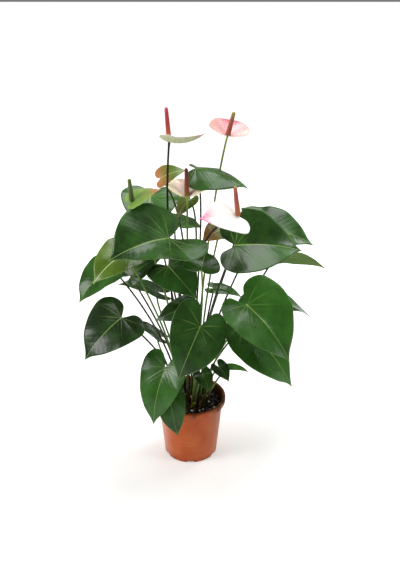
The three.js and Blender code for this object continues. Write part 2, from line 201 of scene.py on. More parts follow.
# as shares of the blade's length, but thickness in mm
leafShape = {
    "width": 1, "back": 1, "arch": 0.1, "lobes": 0.1, "fold": 0.25, "curl": 0.06, "wave": 0.015,
    "skew": 0, "thickness": 0.7, "quilt": 0.0022, "flutter": 0.012,
}
spatheShape = {
    "width": 0.95, "back": 0.8, "arch": 0.05, "lobes": 0.04, "fold": 0.12, "curl": 0.02, "wave": 0.01,
    "skew": 0, "thickness": 0.9, "quilt": 0.004, "flutter": 0.006,
}


def splineThrough(points, count):
    # passes through every point, evenly in the points' own order
    points = np.array(points, float)
    last = len(points) - 1
    out = []
    for k in range(count + 1):
        place = last * k / count
        i = min(int(place), last)
        t = place - i
        a, b = points[max(i - 1, 0)], points[i]
        c, d = points[min(i + 1, last)], points[min(i + 2, last)]
        u, v = (c - a) / 2, (d - b) / 2
        out.append(((2 * b - 2 * c + u + v) * t + (-3 * b + 3 * c - 2 * u - v)) * t * t + u * t + b)
    return np.array(out)


def bladeAxes(place):
    # y runs from the stalk to the tip, z is the way the upper side looks
    at = Vector(place["at"]) + Vector((0, 0, soilTop))
    y = Vector(place["tip"]) - Vector(place["at"])
    length = y.length
    y.normalize()
    z = Vector(place["faces"])
    z = (z - z.dot(y) * y).normalized()
    x = y.cross(z)
    return Matrix((x, y, z)).transposed(), at, length


def bladeHeight(x, y, shape):
    # height of the upper side, everything as a share of the blade's length
    across = x / (0.5 * shape["width"])
    arch = shape["arch"] * 4 * y
    bend = np.where(y > 0, arch * (1 - y), arch + shape["lobes"] * 7 * y ** 2)
    rounding = blade["veeRounding"]
    vee = shape["fold"] * 0.5 * shape["width"] * (np.hypot(across, rounding) - rounding)
    out = np.minimum(1, np.hypot(x, y) / 0.5)
    ripple = shape["wave"] * out ** 2 * np.sin(blade["ripples"] * np.arctan2(x, y))
    return bend + vee - shape["curl"] * across ** 2 + ripple


def veinNumber(px, py):
    # whole numbers lie on the side veins: positive from the midrib, negative fanning into the lobes
    side = np.abs(px)
    forward = py - 0.35 * side ** 2
    angle = math.radians(blade["veinAngle"])
    start = forward - side / math.tan(angle)
    turn = np.arctan2(side, forward)
    fan = -(turn - angle) / (math.pi - angle) * (blade["lobeVeins"] + 0.5)
    along = blade["sideVeins"] * np.clip(start, 0, 1) ** 0.85
    return np.where(start > 0, along, fan)


def bladeMesh(place, shape, seed):
    # points in metres, faces, material slots and the two texture layers of one closed thin blade
    axes, at, length = bladeAxes(place)
    half = splineThrough(heart, blade["halfSteps"])
    edge = np.concatenate([(half * (-1, 1))[::-1], half[1:]])
    rings = blade["rings"]
    share = (np.arange(1, rings + 1) / rings) ** 0.9
    unit = np.concatenate([[[0, 0]], (edge[:, None] * share[None, :, None]).reshape(-1, 2)])
    reach = np.concatenate([[0], np.tile(share, len(edge))])
    px, py = unit.T
    x = px * shape["width"]
    y = np.where(py < 0, py * shape["back"], py) + shape["skew"] * x
    height = bladeHeight(x, y, shape)

    # small forms: swellings between the veins, a groove at the midrib, a restless edge
    vein = veinNumber(px, py)
    clear = 1 - np.exp(-(px / 0.06) ** 2)
    swell = (np.abs(np.sin(math.pi * vein)) ** 0.7 - 0.5) * clear * reach ** 0.5 * (1 - reach ** 6)
    groove = -np.exp(-(px / 0.018) ** 2) * np.clip(1 - py, 0, 1) * (py > -0.02)
    turn = np.arctan2(x, y)
    lively = random.Random(seed)
    waves = (np.sin(k * turn + lively.uniform(0, 6.3)) * lively.uniform(0.4, 1) for k in (3, 7, 11))
    flutter = sum(waves) * reach ** 3
    height = height + shape["quilt"] * (swell + 0.8 * groove) + shape["flutter"] * 0.5 * flutter

    thick = shape["thickness"] * (1 - 0.55 * reach ** 4)
    top = np.stack([x * length, y * length, height * length - blade["below"]], 1)
    under = top - np.stack([0 * x, 0 * x, thick], 1)
    local = np.concatenate([top, under])
    points = (local @ np.array(axes).T + np.array(at)) * mm

    n = len(top)
    spokes = len(edge)
    number = 1 + np.arange(spokes * rings).reshape(spokes, rings)
    a, b = number[:-1, 0], number[1:, 0]
    fans = np.stack([0 * a, b, a], 1)
    quads = np.stack([number[:-1, :-1], number[1:, :-1], number[1:, 1:], number[:-1, 1:]], -1).reshape(-1, 4)
    loop = [0, *number[0], *number[1:, -1], *number[-1, -2::-1]]
    faces = [tuple(f) for f in fans] + [tuple(f) for f in quads]
    slots = [0] * len(faces)
    faces += [tuple(n + f[::-1]) for f in fans] + [tuple(n + f[::-1]) for f in quads]
    slots += [1] * (len(faces) - len(slots))
    faces += [(p, q, n + q, n + p) for p, q in zip(loop, loop[1:] + loop[:1])]
    slots += [0] * (len(faces) - len(slots))
    layers = {
        "blade": np.tile(unit, (2, 1)),
        "veins": np.tile(np.stack([vein, reach], 1), (2, 1)),
    }
    return points, [tuple(int(i) for i in f) for f in faces], slots, layers


def polar(radius, turn):
    return radius * math.cos(turn), radius * math.sin(turn)


def ringFaces(rows, sides, first=0):
    # quads between rows + 1 rings of points, and a cap at each end
    faces = []
    for row in range(rows):
        for k in range(sides):
            a, b = first + row * sides + k, first + row * sides + (k + 1) % sides
            faces.append((a, b, b + sides, a + sides))
    faces.append(tuple(first + k for k in range(sides))[::-1])
    faces.append(tuple(first + rows * sides + k for k in range(sides)))
    return faces


def tubeMesh(path, radii, sides):
    # a round tube through the points, closed by a cap at each end; its layer holds the share of its length
    path = np.array(path, float)
    ahead = np.gradient(path, axis=0)
    ahead /= np.linalg.norm(ahead, axis=1)[:, None]
    side = np.cross(ahead[0], (0.3, 0.9, 0.2))
    points, along = [], []
    travelled = np.concatenate([[0], np.cumsum(np.linalg.norm(np.diff(path, axis=0), axis=1))])
    for i, centre in enumerate(path):
        side = side - ahead[i] * np.dot(side, ahead[i])
        side /= np.linalg.norm(side)
        other = np.cross(ahead[i], side)
        for k in range(sides):
            turn = 2 * math.pi * k / sides
            points.append(centre + radii[i] * (math.cos(turn) * side + math.sin(turn) * other))
            along.append((travelled[i] / travelled[-1], travelled[i]))
    return np.array(points), ringFaces(len(path) - 1, sides), np.array(along)


# stalks: radii in mm, the knee is the swollen joint under a leaf
leafStalk = {
    "radius": 1.9, "foot": 2.7, "knee": 2.3, "kneeLength": 11, "rise": 0.4, "approach": 0.16,
    "rooted": 3,  # mm under the soil surface
    "sides": 14, "steps": 44,
}
flowerStalk = {**leafStalk, "radius": 2.0, "foot": 2.8, "knee": 2.5, "kneeLength": 6, "steps": 52}


def stalkMesh(place, stalk, pokes):
    # from the soil to the underside of the blade; pokes is how far its end stands above the blade's underside
    axes, at, _ = bladeAxes(place)
    normal = axes.col[2]
    distance, bearing = place["root"]
    foot = Vector((*polar(distance, math.radians(bearing)), soilTop))
    reach = (at - foot).length
    rise = foot + Vector((*place.get("lean", (0, 0)), reach * stalk["rise"]))
    near = at - normal * reach * stalk["approach"] + Vector((*place.get("knee", (0, 0)), 0))
    end = at + normal * pokes
    start = foot - Vector((0, 0, stalk["rooted"]))
    path, radii = [], []
    steps = stalk["steps"]
    for i in range(steps + 1):
        # closer together toward the joint
        t = 1 - (1 - i / steps) ** 1.5
        path.append(
            (1 - t) ** 3 * start + 3 * (1 - t) ** 2 * t * rise + 3 * (1 - t) * t * t * near + t ** 3 * end)
    lengths = [0]
    for p, q in zip(path, path[1:]):
        lengths.append(lengths[-1] + (q - p).length)
    whole = lengths[-1]
    for done in lengths:
        base = (stalk["foot"] - stalk["radius"]) * math.exp(-done / 9)
        left = whole - done
        swell = (stalk["knee"] - stalk["radius"]) / (1 + math.exp((left - stalk["kneeLength"]) / 1.2))
        closing = min(1, 0.35 + left / 1.6)  # a rounded end
        radii.append((stalk["radius"] * (1 - 0.12 * done / whole) + base + swell) * closing)
    return tubeMesh([p * mm for p in path], [r * mm for r in radii], stalk["sides"])


# leaf colours: deep and fresh are mixed in soft patches, vein and margin are the pale lines
leafColours = {
    "mature": {"deep": "#0f250b", "fresh": "#386f20", "vein": "#8cab55", "margin": "#64893f",
               "under": "#3a5222", "rib": "#728d42", "gloss": 0.27, "lines": 0.6},
    "fresh": {"deep": "#2f5a20", "fresh": "#4f8a2c", "vein": "#b9d07a", "margin": "#9ab865",
              "under": "#5f6a2c", "rib": "#868c4c", "gloss": 0.34, "lines": 0.8},
    "young": {"deep": "#1f3009", "fresh": "#4f6d14", "vein": "#d8e0a0", "margin": "#a3b45e",
              "under": "#5f7a30", "rib": "#a8b76c", "gloss": 0.25, "lines": 0.9},
    "bronze": {"deep": "#4c661e", "fresh": "#a8683a", "vein": "#dcc896", "margin": "#b08a58",
               "under": "#b08c52", "rib": "#cdb080", "gloss": 0.34, "lines": 0.75},
}


def bladePlaces(add):
    # across and along the blade, the vein number, the share of the way to the edge, and the place in m
    unit = add("SeparateXYZ", None, {0: add("UVMap", {"uv_map": "blade"})}).node.outputs
    marks = add("SeparateXYZ", None, {0: add("UVMap", {"uv_map": "veins"})}).node.outputs
    return unit[0], unit[1], marks[0], marks[1], add("TexCoord", None, None, 3)


def leafSkin(name, look):
    # living leaf, green tissue under a waxed cuticle: broad soft highlights, quilted between the veins
    material, add = newMaterial(name + " leaf, waxed upper side")

    across, along, vein, reach, place = bladePlaces(add)
    # the leaf's tone: partly its own colour, partly painted shade and painted highlight
    tone = add("SeparateColor", None, {0: add("Attribute", {"attribute_name": "tone"}, None, 0)}, 0)

    # midrib, 2 mm wide at the stalk of a 100 mm leaf, drawn a little wider than life so that it shows
    side = add("Math", {"operation": "ABSOLUTE"}, {0: across})
    ribWidth = add("MapRange", None, {0: along, 3: 0.013, 4: 0.004})
    rib = add("MapRange", smooth, {
        0: add("Math", {"operation": "DIVIDE"}, {0: side, 1: ribWidth}), 1: 0.5, 2: 1.1, 3: 1, 4: 0})
    rib = add("Math", times, {
        0: rib, 1: add("MapRange", None, {0: along, 1: -0.04, 2: 0, 3: 0, 4: 1})})
    # side veins, about 1 mm wide, fading toward the edge
    gap = add("Math", pingPong, {0: vein, 1: 0.5})
    veinWidth = add("MapRange", None, {0: reach, 3: 0.12, 4: 0.035})
    line = add("MapRange", smooth, {
        0: add("Math", {"operation": "DIVIDE"}, {0: gap, 1: veinWidth}), 1: 0.2, 2: 1, 3: 1, 4: 0})
    fade = add("MapRange", smooth, {0: reach, 1: 0.1, 2: 0.85, 3: 0.85, 4: 0.06})
    basal = add("MapRange", None, {0: vein, 1: 0.3, 2: 1.2, 3: 1, 4: 0.1})
    line = add("Math", times, {0: line, 1: fade})
    line = add("Math", times, {0: line, 1: basal})
    lines = add("Math", larger, {0: rib, 1: line})
    margin = add("MapRange", smooth, {0: reach, 1: 0.98, 2: 0.996})

    # colour: patches some 40 mm across, the leaf's tone, which is partly its own colour and partly painted
    # shade and painted highlight, and a 1 mm mottle
    patches = add("TexNoise", None, {"Vector": place, "Scale": 26, "Detail": 3, "Roughness": 0.55})
    mottle = add("TexNoise", None, {"Vector": place, "Scale": 620, "Detail": 2})
    blend = add("MapRange", None, {0: patches, 1: 0.3, 2: 0.75, 3: -0.12, 4: 0.42})
    blend = add("Math", {"operation": "ADD", "use_clamp": True}, {0: blend, 1: tone})
    green = add("Mix", rgba, {
        0: blend, 6: linearColour(look["deep"]), 7: linearColour(look["fresh"])}, 2)
    speck = add("MapRange", None, {0: mottle, 1: 0.4, 2: 0.75, 3: 0.0, 4: 0.06})
    green = add("Mix", rgba, {0: speck, 6: green, 7: linearColour(look["vein"])}, 2)
    drawn = add("Math", times, {0: lines, 1: look["lines"]})
    green = add("Mix", rgba, {0: drawn, 6: green, 7: linearColour(look["vein"])}, 2)
    green = add("Mix", rgba, {
        0: add("Math", times, {0: margin, 1: 0.75}),
        6: green, 7: linearColour(look["margin"])}, 2)

    # relief: raised cells between the veins, sunk veins, a faint skin texture of 0.8 mm
    cells = add("MapRange", smooth, {0: gap, 1: 0, 2: 0.3, 3: 0, 4: 1})
    grain = add("TexNoise", None, {"Vector": place, "Scale": 1200, "Detail": 1})
    buckle = add("TexNoise", None, {"Vector": place, "Scale": 75, "Detail": 2})
    cells = add("Math", times, {0: cells, 1: 0.7})
    relief = add("Math", timesPlus, {0: buckle, 1: 2.4, 2: cells})
    relief = add("Math", timesPlus, {0: grain, 1: 0.12, 2: relief})
    relief = add("Math", timesPlus, {0: rib, 1: -0.8, 2: relief})
    bump = add("Bump", None, {"Height": relief, "Strength": 0.2, "Distance": 0.6 * mm})
    gloss = look["gloss"]
    rough = add("MapRange", None, {0: patches, 1: 0.3, 2: 0.7, 3: gloss - 0.05, 4: gloss + 0.09})
    skin = add("BsdfPrincipled", None, {
        "Base Color": green, "Roughness": rough, "IOR": 1.36, "Specular IOR Level": 0.42, "Normal": bump,
        "Coat Weight": 0.07, "Coat Roughness": 0.12})
    add("OutputMaterial", None, {"Surface": skin})

    # underside: paler, no wax, the ribs stand out
    below, add = newMaterial(name + " leaf, matt underside")
    across, _, vein, _, place = bladePlaces(add)
    side = add("Math", {"operation": "ABSOLUTE"}, {0: across})
    rib = add("MapRange", smooth, {0: side, 1: 0.006, 2: 0.02, 3: 1, 4: 0})
    gap = add("Math", pingPong, {0: vein, 1: 0.5})
    line = add("MapRange", smooth, {0: gap, 1: 0.02, 2: 0.09, 3: 0.6, 4: 0})
    lines = add("Math", larger, {0: rib, 1: line})
    mottle = add("TexNoise", None, {"Vector": place, "Scale": 120, "Detail": 5})
    tissue = add("Mix", rgba, {
        0: mottle, 6: linearColour(look["under"]), 7: linearColour(look["fresh"])}, 2)
    tissue = add("Mix", rgba, {0: lines, 6: tissue, 7: linearColour(look["rib"])}, 2)
    relief = add("Math", timesPlus, {0: mottle, 1: 0.3, 2: lines})
    bump = add("Bump", None, {"Height": relief, "Strength": 0.5, "Distance": 0.8 * mm})
    skin = add("BsdfPrincipled", None, {
        "Base Color": tissue, "Roughness": 0.52, "IOR": 1.45, "Normal": bump})
    add("OutputMaterial", None, {"Surface": skin})
    return [material, below]


# stalk colours: skin and streak run along the stalk, knee is the joint under the leaf
stalkColours = {
    "green": {"skin": "#6d8f36", "streak": "#47692a", "knee": "#8fae4c"},
    "mixed": {"skin": "#4c5a22", "streak": "#30281a", "knee": "#7d9a40"},
    "dark": {"skin": "#3f4420", "streak": "#20190c", "knee": "#59702f"},
    "black": {"skin": "#20140f", "streak": "#0e0908", "knee": "#20140f"},
    "olive": {"skin": "#8c9c40", "streak": "#5f7a30", "knee": "#98a64a"},
}
corkyFoot = {"brown": "#40321a", "height": 50}  # mm above the compost


def stalkSkin(name, look):
    # smooth fibrous stem: satin, with fine streaks along it
    material, add = newMaterial(name + " stalk, smooth fibrous stem")

    share, travelled, _ = add("SeparateXYZ", None, {0: add("UVMap", {"uv_map": "along"})}).node.outputs
    place = add("TexCoord", None, None, 3)
    # streaks 1 mm wide and some 30 mm long
    drawn = add("Mapping", None, {"Vector": place, "Scale": (1, 1, 0.04)})
    streak = add("TexNoise", None, {"Vector": drawn, "Scale": 900, "Detail": 3})
    blotch = add("TexNoise", None, {"Vector": place, "Scale": 45, "Detail": 3})
    mixed = add("Math", {"operation": "ADD"}, {0: streak, 1: blotch})
    mixed = add("MapRange", None, {0: mixed, 1: 0.8, 2: 1.25})
    skin = add("Mix", rgba, {
        0: mixed, 6: linearColour(look["skin"]), 7: linearColour(look["streak"])}, 2)
    knee = add("MapRange", smooth, {0: share, 1: 0.93, 2: 0.975})
    skin = add("Mix", rgba, {0: knee, 6: skin, 7: linearColour(look["knee"])}, 2)
    # brown and corky where it leaves the compost, with a ragged upper edge
    ragged = add("Math", timesPlus, {0: blotch, 1: -0.03, 2: travelled})
    corky = add("MapRange", smooth, {0: ragged, 1: 0.0, 2: corkyFoot["height"] * mm, 3: 0.92, 4: 0})
    skin = add("Mix", rgba, {0: corky, 6: skin, 7: linearColour(corkyFoot["brown"])}, 2)
    bump = add("Bump", None, {"Height": streak, "Strength": 0.3, "Distance": 0.3 * mm})
    surface = add("BsdfPrincipled", None, {
        "Base Color": skin, "Roughness": 0.5, "IOR": 1.33, "Normal": bump})
    add("OutputMaterial", None, {"Surface": surface})
    return material


leafSkins = {name: leafSkin(name, look) for name, look in leafColours.items()}
stalkSkins = {name: stalkSkin(name, look) for name, look in stalkColours.items()}


# Where each leaf grows. root is where the stalk leaves the soil: distance from the axis, bearing in degrees.
# at is where the stalk meets the blade and tip is the blade's point, with heights above the soil surface.
# faces is the way the upper side looks, lean and knee move the stalk's lower and upper part.
# tone is given at the stalk and at the tip; it is partly the leaf's own colour and partly painted light,
# lower where a leaf lies in shade and higher where it shows highlights.
bigLeaves = {
    "upper_left": {
        "root": (17, 228), "lean": (-6, 6), "knee": (20, 54), "stalk": "dark",
        "at": (-33, -95, 391), "tip": (-129, -145, 371), "faces": (-0.2, -0.62, 0.76),
        "fold": 0.45, "width": 1.2, "skew": 0.25, "tone": (0.25, 0.12),
    },
    "back_upper_left": {
        "root": (11, 150), "stalk": "dark",
        "at": (-71, 50, 415), "tip": (-76, -20, 362), "faces": (0, -0.7, 0.7),
        "back": 0.7, "width": 1.2, "tone": (0.35, 0.5),
    },
    "far_left": {
        "root": (23, 170), "stalk": "dark",
        "at": (-149, 20, 286), "tip": (-206, -15, 229), "faces": (-0.6, -0.6, 0.5),
        "back": 0.6, "tone": (0.15, 0.3),
    },
    # centre_dark lies in shade under the leaves above: its low tone at the stalk is painted shade
    "centre_dark": {
        "root": (17, 260), "stalk": "mixed",
        "at": (-36, -75, 331), "tip": (14, -110, 284), "faces": (-0.1, -0.75, 0.65),
        "width": 1, "back": 0.5, "skew": -0.2, "tone": (-0.05, 0.35),
    },
    "upper_right": {
        "root": (17, 312), "stalk": "dark",
        "at": (79, -90, 376), "tip": (193, -75, 359), "faces": (0, -0.65, 0.76),
        "fold": 0.5, "width": 1.05, "back": 0.65, "tone": (0.02, 0.2),
    },
    "right_back": {
        "root": (17, 10), "stalk": "dark",
        "at": (126, 35, 358), "tip": (228, 15, 333), "faces": (0.2, -0.5, 0.85),
        "tone": (0.1, 0.25),
    },
    "top_centre": {
        "root": (11, 60), "knee": (34, 34), "stalk": "dark",
        "at": (12, 8, 480), "tip": (102, -36, 457), "faces": (0.1, -0.16, 0.96),
        "arch": 0.08, "width": 0.88, "back": 0.4, "fold": -0.3, "skew": 0.4, "tone": (0.1, 0.35),
    },
    "low_left": {
        "root": (23, 196), "stalk": "mixed",
        "at": (-124, -55, 219), "tip": (-189, -95, 154), "faces": (-0.5, -0.75, 0.45),
        "width": 1.12, "back": 0.6, "fold": 0.2, "tone": (-0.1, 0),
    },
    "front_left": {
        "root": (29, 238), "stalk": "green",
        "at": (-45, -85, 131), "tip": (-67, -112, 25), "faces": (-0.45, -0.85, 0.3),
        "width": 0.8, "back": 0.7, "tone": (0.6, 0.45),
    },
    "front_centre": {
        "root": (29, 280), "stalk": "green",
        "at": (19, -95, 222), "tip": (-20, -124, 130), "faces": (-0.1, -0.9, 0.4),
        "width": 0.97, "skew": -0.15, "tone": (0.2, 0.1),
    },
    # mid_right's high tone is partly a painted highlight
    "mid_right": {
        "root": (23, 332), "lean": (-4, -30), "knee": (-14, -6), "stalk": "green",
        "at": (103, -70, 253), "tip": (181, -100, 153), "faces": (0.45, -0.75, 0.7),
        "fold": 0.5, "back": 0.7, "tone": (0.6, 0.5),
    },
    "low_right": {
        "root": (29, 340), "stalk": "green",
        "at": (99, -25, 190), "tip": (195, -50, 66), "faces": (0.5, -0.7, 0.5),
        "fold": 0.35, "back": 0.5, "width": 0.75, "skew": 0.3, "tone": (0.4, 0.6),
    },
}
smallLeaves = {
    "young_left": {
        "root": (23, 214), "knee": (0, -20), "stalk": "green", "kind": "young",
        "at": (-108, -62, 352), "tip": (-163, -105, 311), "faces": (-0.4, -0.7, 0.6),
        "width": 1, "back": 0.7, "tone": (0.25, 0.85),
    },
    "left_under": {
        "root": (17, 196), "stalk": "dark",
        "at": (-106, -25, 290), "tip": (-48, 0, 315), "faces": (0, -0.5, 0.85),
        "width": 0.64, "back": 0.5, "tone": (-0.1, 0.1),
    },
    "left_thin": {
        "root": (17, 140), "stalk": "green",
        "at": (-65, 55, 219), "tip": (-141, 45, 237), "faces": (0, -0.1, 1),
        "width": 0.7, "tone": (0.1, 0.3),
    },
    "centre_bright": {
        "root": (23, 285), "lean": (10, 0), "knee": (8, 0), "stalk": "green",
        "at": (21, -100, 335), "tip": (30, -57, 350), "faces": (0, -0.4, 0.9),
        "width": 1.35, "back": 0.4, "tone": (0.3, 0.1),
    },
    "right_under": {
        "root": (23, 30), "lean": (0, 34), "stalk": "dark", "kind": "fresh",
        "at": (155, 40, 298), "tip": (262, 50, 268), "faces": (0.1, 0.75, 0.65),
        "width": 0.5, "fold": 0.1, "tone": (0.2, 0.3),
    },
    "bronze_top": {
        "root": (11, 105), "knee": (36, -38), "stalk": "mixed", "kind": "bronze",
        "at": (-50, 5, 463), "tip": (-4, 5, 477), "faces": (-0.1, -0.55, 0.82),
        "width": 0.92, "back": 0.5, "tone": (1, -0.9),
    },
    "bronze_peach": {
        "root": (17, 335), "stalk": "green", "kind": "bronze",
        "at": (55, -20, 376), "tip": (22, -50, 366), "faces": (0, -0.6, 0.7),
        "tone": (-0.6, 1),
    },
    "bronze_small": {
        "root": (11, 285), "lean": (-6, -4), "stalk": "mixed", "kind": "bronze",
        "at": (0, 0, 425), "tip": (-20, -15, 398), "faces": (-0.4, -0.6, 0.7),
        "tone": (-0.35, 0.1),
    },
    "low_left_back": {
        "root": (29, 166), "stalk": "green",
        "at": (-65, 42, 129), "tip": (-122, 42, 156), "faces": (0, -0.1, 1),
        "width": 0.6, "tone": (0, 0.2),
    },
    "over_rim": {
        "root": (35, 262), "stalk": "green",
        "at": (-38, -82, 68), "tip": (-23, -95, -16), "faces": (-0.1, -1, 0.3),
        "width": 0.66, "back": 0.6, "tone": (0.2, 0.3),
    },
    "centre_low_back": {
        "root": (23, 255), "stalk": "dark",
        "at": (2, -62, 246), "tip": (-62, -75, 223), "faces": (0, -0.6, 0.7),
        "width": 0.7, "back": 0.5, "tone": (-0.1, 0.1),
    },
    "back_right": {
        "root": (23, 12), "stalk": "mixed",
        "at": (155, 80, 190), "tip": (256, 80, 132), "faces": (0.3, 0.1, 0.95),
        "width": 0.8, "tone": (0.1, 0.3),
    },
    "small_right": {
        "root": (17, 35), "stalk": "dark",
        "at": (46, 30, 238), "tip": (101, 15, 224), "faces": (0.1, -0.3, 0.95),
        "width": 0.55, "back": 0.75, "tone": (0.2, 0.4),
    },
    "basal_right": {
        "root": (35, 322), "stalk": "green",
        "at": (55, -45, 108), "tip": (74, -60, 84), "faces": (0.3, -0.5, 0.8),
        "tone": (-0.1, 0.1),
    },
    "basal_centre": {
        "root": (35, 285), "stalk": "green",
        "at": (24, -54, 97), "tip": (37, -72, 70), "faces": (0.1, -0.5, 0.8),
        "tone": (0, 0.2),
    },
    "rear_left": {
        "root": (17, 110), "stalk": "dark",
        "at": (-30, 100, 340), "tip": (-88, 178, 325), "faces": (-0.2, 0.5, 0.85),
    },
    "rear_right": {
        "root": (17, 62), "stalk": "mixed",
        "at": (88, 100, 325), "tip": (140, 180, 305), "faces": (0.2, 0.5, 0.85),
    },
    "rear_centre": {
        "root": (23, 85), "stalk": "green",
        "at": (4, 62, 282), "tip": (22, 135, 270), "faces": (0, 0.2, 1),
        "width": 0.7, "back": 0.4,
    },
}
flowers = {
    "top_left": {
        "root": (11, 195), "lean": (-30, -12), "knee": (-30, 8),
        "at": (-32, -30, 536), "tip": (29, -25, 551), "faces": (0, 0.3, 0.95), "spike": (-36, -30, 593),
        "arch": -0.12, "back": 0.6, "fold": 0.42,
    },
    "top_right": {
        "root": (11, 15), "knee": (0, 54),
        "at": (66, 0, 540), "tip": (75, 45, 557), "faces": (0.15, -0.3, 0.9), "spike": (76, 0, 579),
        "fold": 0.45, "back": 0.3, "width": 1.4,
    },
    "middle": {
        "root": (11, 240),
        "at": (-3, -35, 444), "tip": (0, 13, 461), "faces": (0, -0.3, 0.9), "spike": (-4, -40, 494),
        "fold": 0.66, "back": 0.3, "width": 1.24,
    },
    "left": {
        "root": (17, 170),
        "at": (-95, -60, 443), "tip": (-46, -50, 461), "faces": (0, -0.2, 1), "spike": (-98, -60, 482),
        "back": 0.5,
    },
    "white": {
        "root": (11, 330), "knee": (-80, 40),
        "at": (81, -100, 432), "tip": (17, -130, 437), "faces": (0, -0.6, 0.79), "spike": (75, -100, 482),
        "back": 0.5, "width": 1.04,
    },
}


# one more small leaf stands over the rim; it is drawn only, and has no solid of its own
drawnLeaves = {
    "basal_thin": {
        "root": (37, 330), "stalk": "green", "kind": "fresh",
        "at": (73, -30, 99), "tip": (114, -30, 85), "faces": (0, -0.5, 0.85),
        "width": 0.34, "back": 0.3, "fold": 0.4, "arch": 0.2, "tone": (0.9, 0.7),
    },
}


def ownShape(place, shape):
    return {key: place.get(key, value) for key, value in shape.items()}


def addLeaf(name, place, seed, fused):
    shape = ownShape(place, leafShape)
    kind = place.get("kind", "mature")
    points, faces, slots, layers = bladeMesh(place, shape, seed)
    tone = np.zeros((len(points), 4))
    unit = layers["blade"]
    # tone from stalk to tip: partly the leaf's own colour, partly painted shade and painted highlight
    low, high = place.get("tone", (0.1, 0.1))  # at the stalk and at the tip
    tone[:, 0] = low + (high - low) * np.clip((unit[:, 1] + 0.3) / 1.3, 0, 1)
    tone[:, 3] = 1
    stalkPoints, stalkFaces, along = stalkMesh(place, leafStalk, 0.2)
    stalkColour = stalkSkins[place["stalk"]]
    if not fused:
        blade = makePiece(name + "_blade", points, faces, leafSkins[kind], slots, layers, {"tone": tone})
        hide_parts(f"leaf_{name}_blade")
        stalk = makePiece(name + "_stalk", stalkPoints, stalkFaces, [stalkColour], None, {"along": along})
        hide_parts(f"leaf_{name}_stalk")
        return
    count = len(points)
    blank = np.zeros((len(stalkPoints), 2))
    layers = {key: np.concatenate([value, blank]) for key, value in layers.items()}
    layers["along"] = np.concatenate([np.zeros((count, 2)), along])
    tone = np.concatenate([tone, np.ones((len(stalkPoints), 4))])
    faces = faces + [tuple(count + i for i in f) for f in stalkFaces]
    slots = slots + [2] * len(stalkFaces)
    leaf = makePiece(name + "_leaf", np.concatenate([points, stalkPoints]), faces,
                     [*leafSkins[kind], stalkColour], slots, layers, {"tone": tone})
    if name not in drawnLeaves:
        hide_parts(f"leaf_{name}")


# each group has its first seed, its leaves, and whether blade and stalk are one piece
for firstSeed, leaves, fused in ((0, bigLeaves, False), (100, smallLeaves, True), (150, drawnLeaves, True)):
    for number, (name, place) in enumerate(leaves.items()):
        addLeaf(name, place, firstSeed + number, fused)
print("leaves:", len(bigLeaves) + len(smallLeaves) + len(drawnLeaves))


# spathe colours: along runs from the lobes (0) to the tip (1); edge is the rim, back is the underside
flowerColours = {
    "top_left": {"along": {0: "#eef0d8", 0.45: "#f3efe2", 0.8: "#f0d6d2", 0.93: "#d9788c", 1: "#7d2f3c"},
                 "edge": "#efe9dc", "back": "#d3d9ae", "backTip": "#b4485a",
                 "spadix": {0: "#c98d5a", 0.2: "#b0563c", 0.55: "#b23a3c", 0.85: "#c0404a", 1: "#c8606a"},
                 "stalk": "black", "slot": "dark_flower_stalk"},
    "top_right": {"along": {0: "#dfb4ac", 0.3: "#e0aca8", 0.6: "#d88f98", 0.85: "#b85068", 1: "#9a4058"},
                  "edge": "#c9a088", "back": "#e8c4ae", "backTip": "#dca0a4",
                  "spadix": {0: "#b0583a", 0.35: "#a84c38", 0.7: "#a5603a", 1: "#9c9a48"},
                  "stalk": "olive", "slot": "green_flower_stalk"},
    "middle": {"along": {0: "#f0e8b0", 0.2: "#f8e6cc", 0.5: "#fadcd2", 0.85: "#f8ccc6", 1: "#ecaeb0"},
               "edge": "#f0eab8", "back": "#dcd6a4", "backTip": "#e8c2a8",
               "spadix": {0: "#9a6a34", 0.3: "#8a4a2c", 0.75: "#863430", 1: "#4a201c"},
               "stalk": "green", "slot": "green_flower_stalk"},
    "left": {"along": {0: "#6f8f38", 0.45: "#64853a", 0.7: "#7c8c40", 0.84: "#b0784c", 1: "#cc8f74"},
             "edge": "#86a04e", "back": "#8fae54", "backTip": "#c4a06c",
             "spadix": {0: "#465420", 0.5: "#54682a", 1: "#657c34"},
             "stalk": "green", "slot": "green_flower_stalk"},
    "white": {"along": {0: "#efece6", 0.66: "#eeeae7", 0.8: "#e6bcc8", 0.91: "#da7094", 1: "#c04c74"},
              "edge": "#e9e5e0", "back": "#ece4d2", "backTip": "#e9b6bf",
              "spadix": {0: "#c0784a", 0.3: "#b86a48", 0.7: "#b0504c", 0.93: "#b86a4c", 1: "#c89464"},
              "stalk": "black", "slot": "dark_flower_stalk"},
}
# the beads are the tiny true flowers, about 1.4 mm apart; shade is a painted shade that darkens the gaps
# between them
spadix = {"radius": 4.5, "turns": 20, "rows": 34, "bead": 0.16, "shade": "#b8a8a0"}


def colourRamp(add, factor, stops):
    ramp = add("ValToRGB", None, {0: factor})
    elements = ramp.node.color_ramp.elements
    while len(elements) < len(stops):
        elements.new(0.5)
    for element, (place, colour) in zip(elements, sorted(stops.items())):
        element.position = place
        element.color = linearColour(colour)
    return ramp


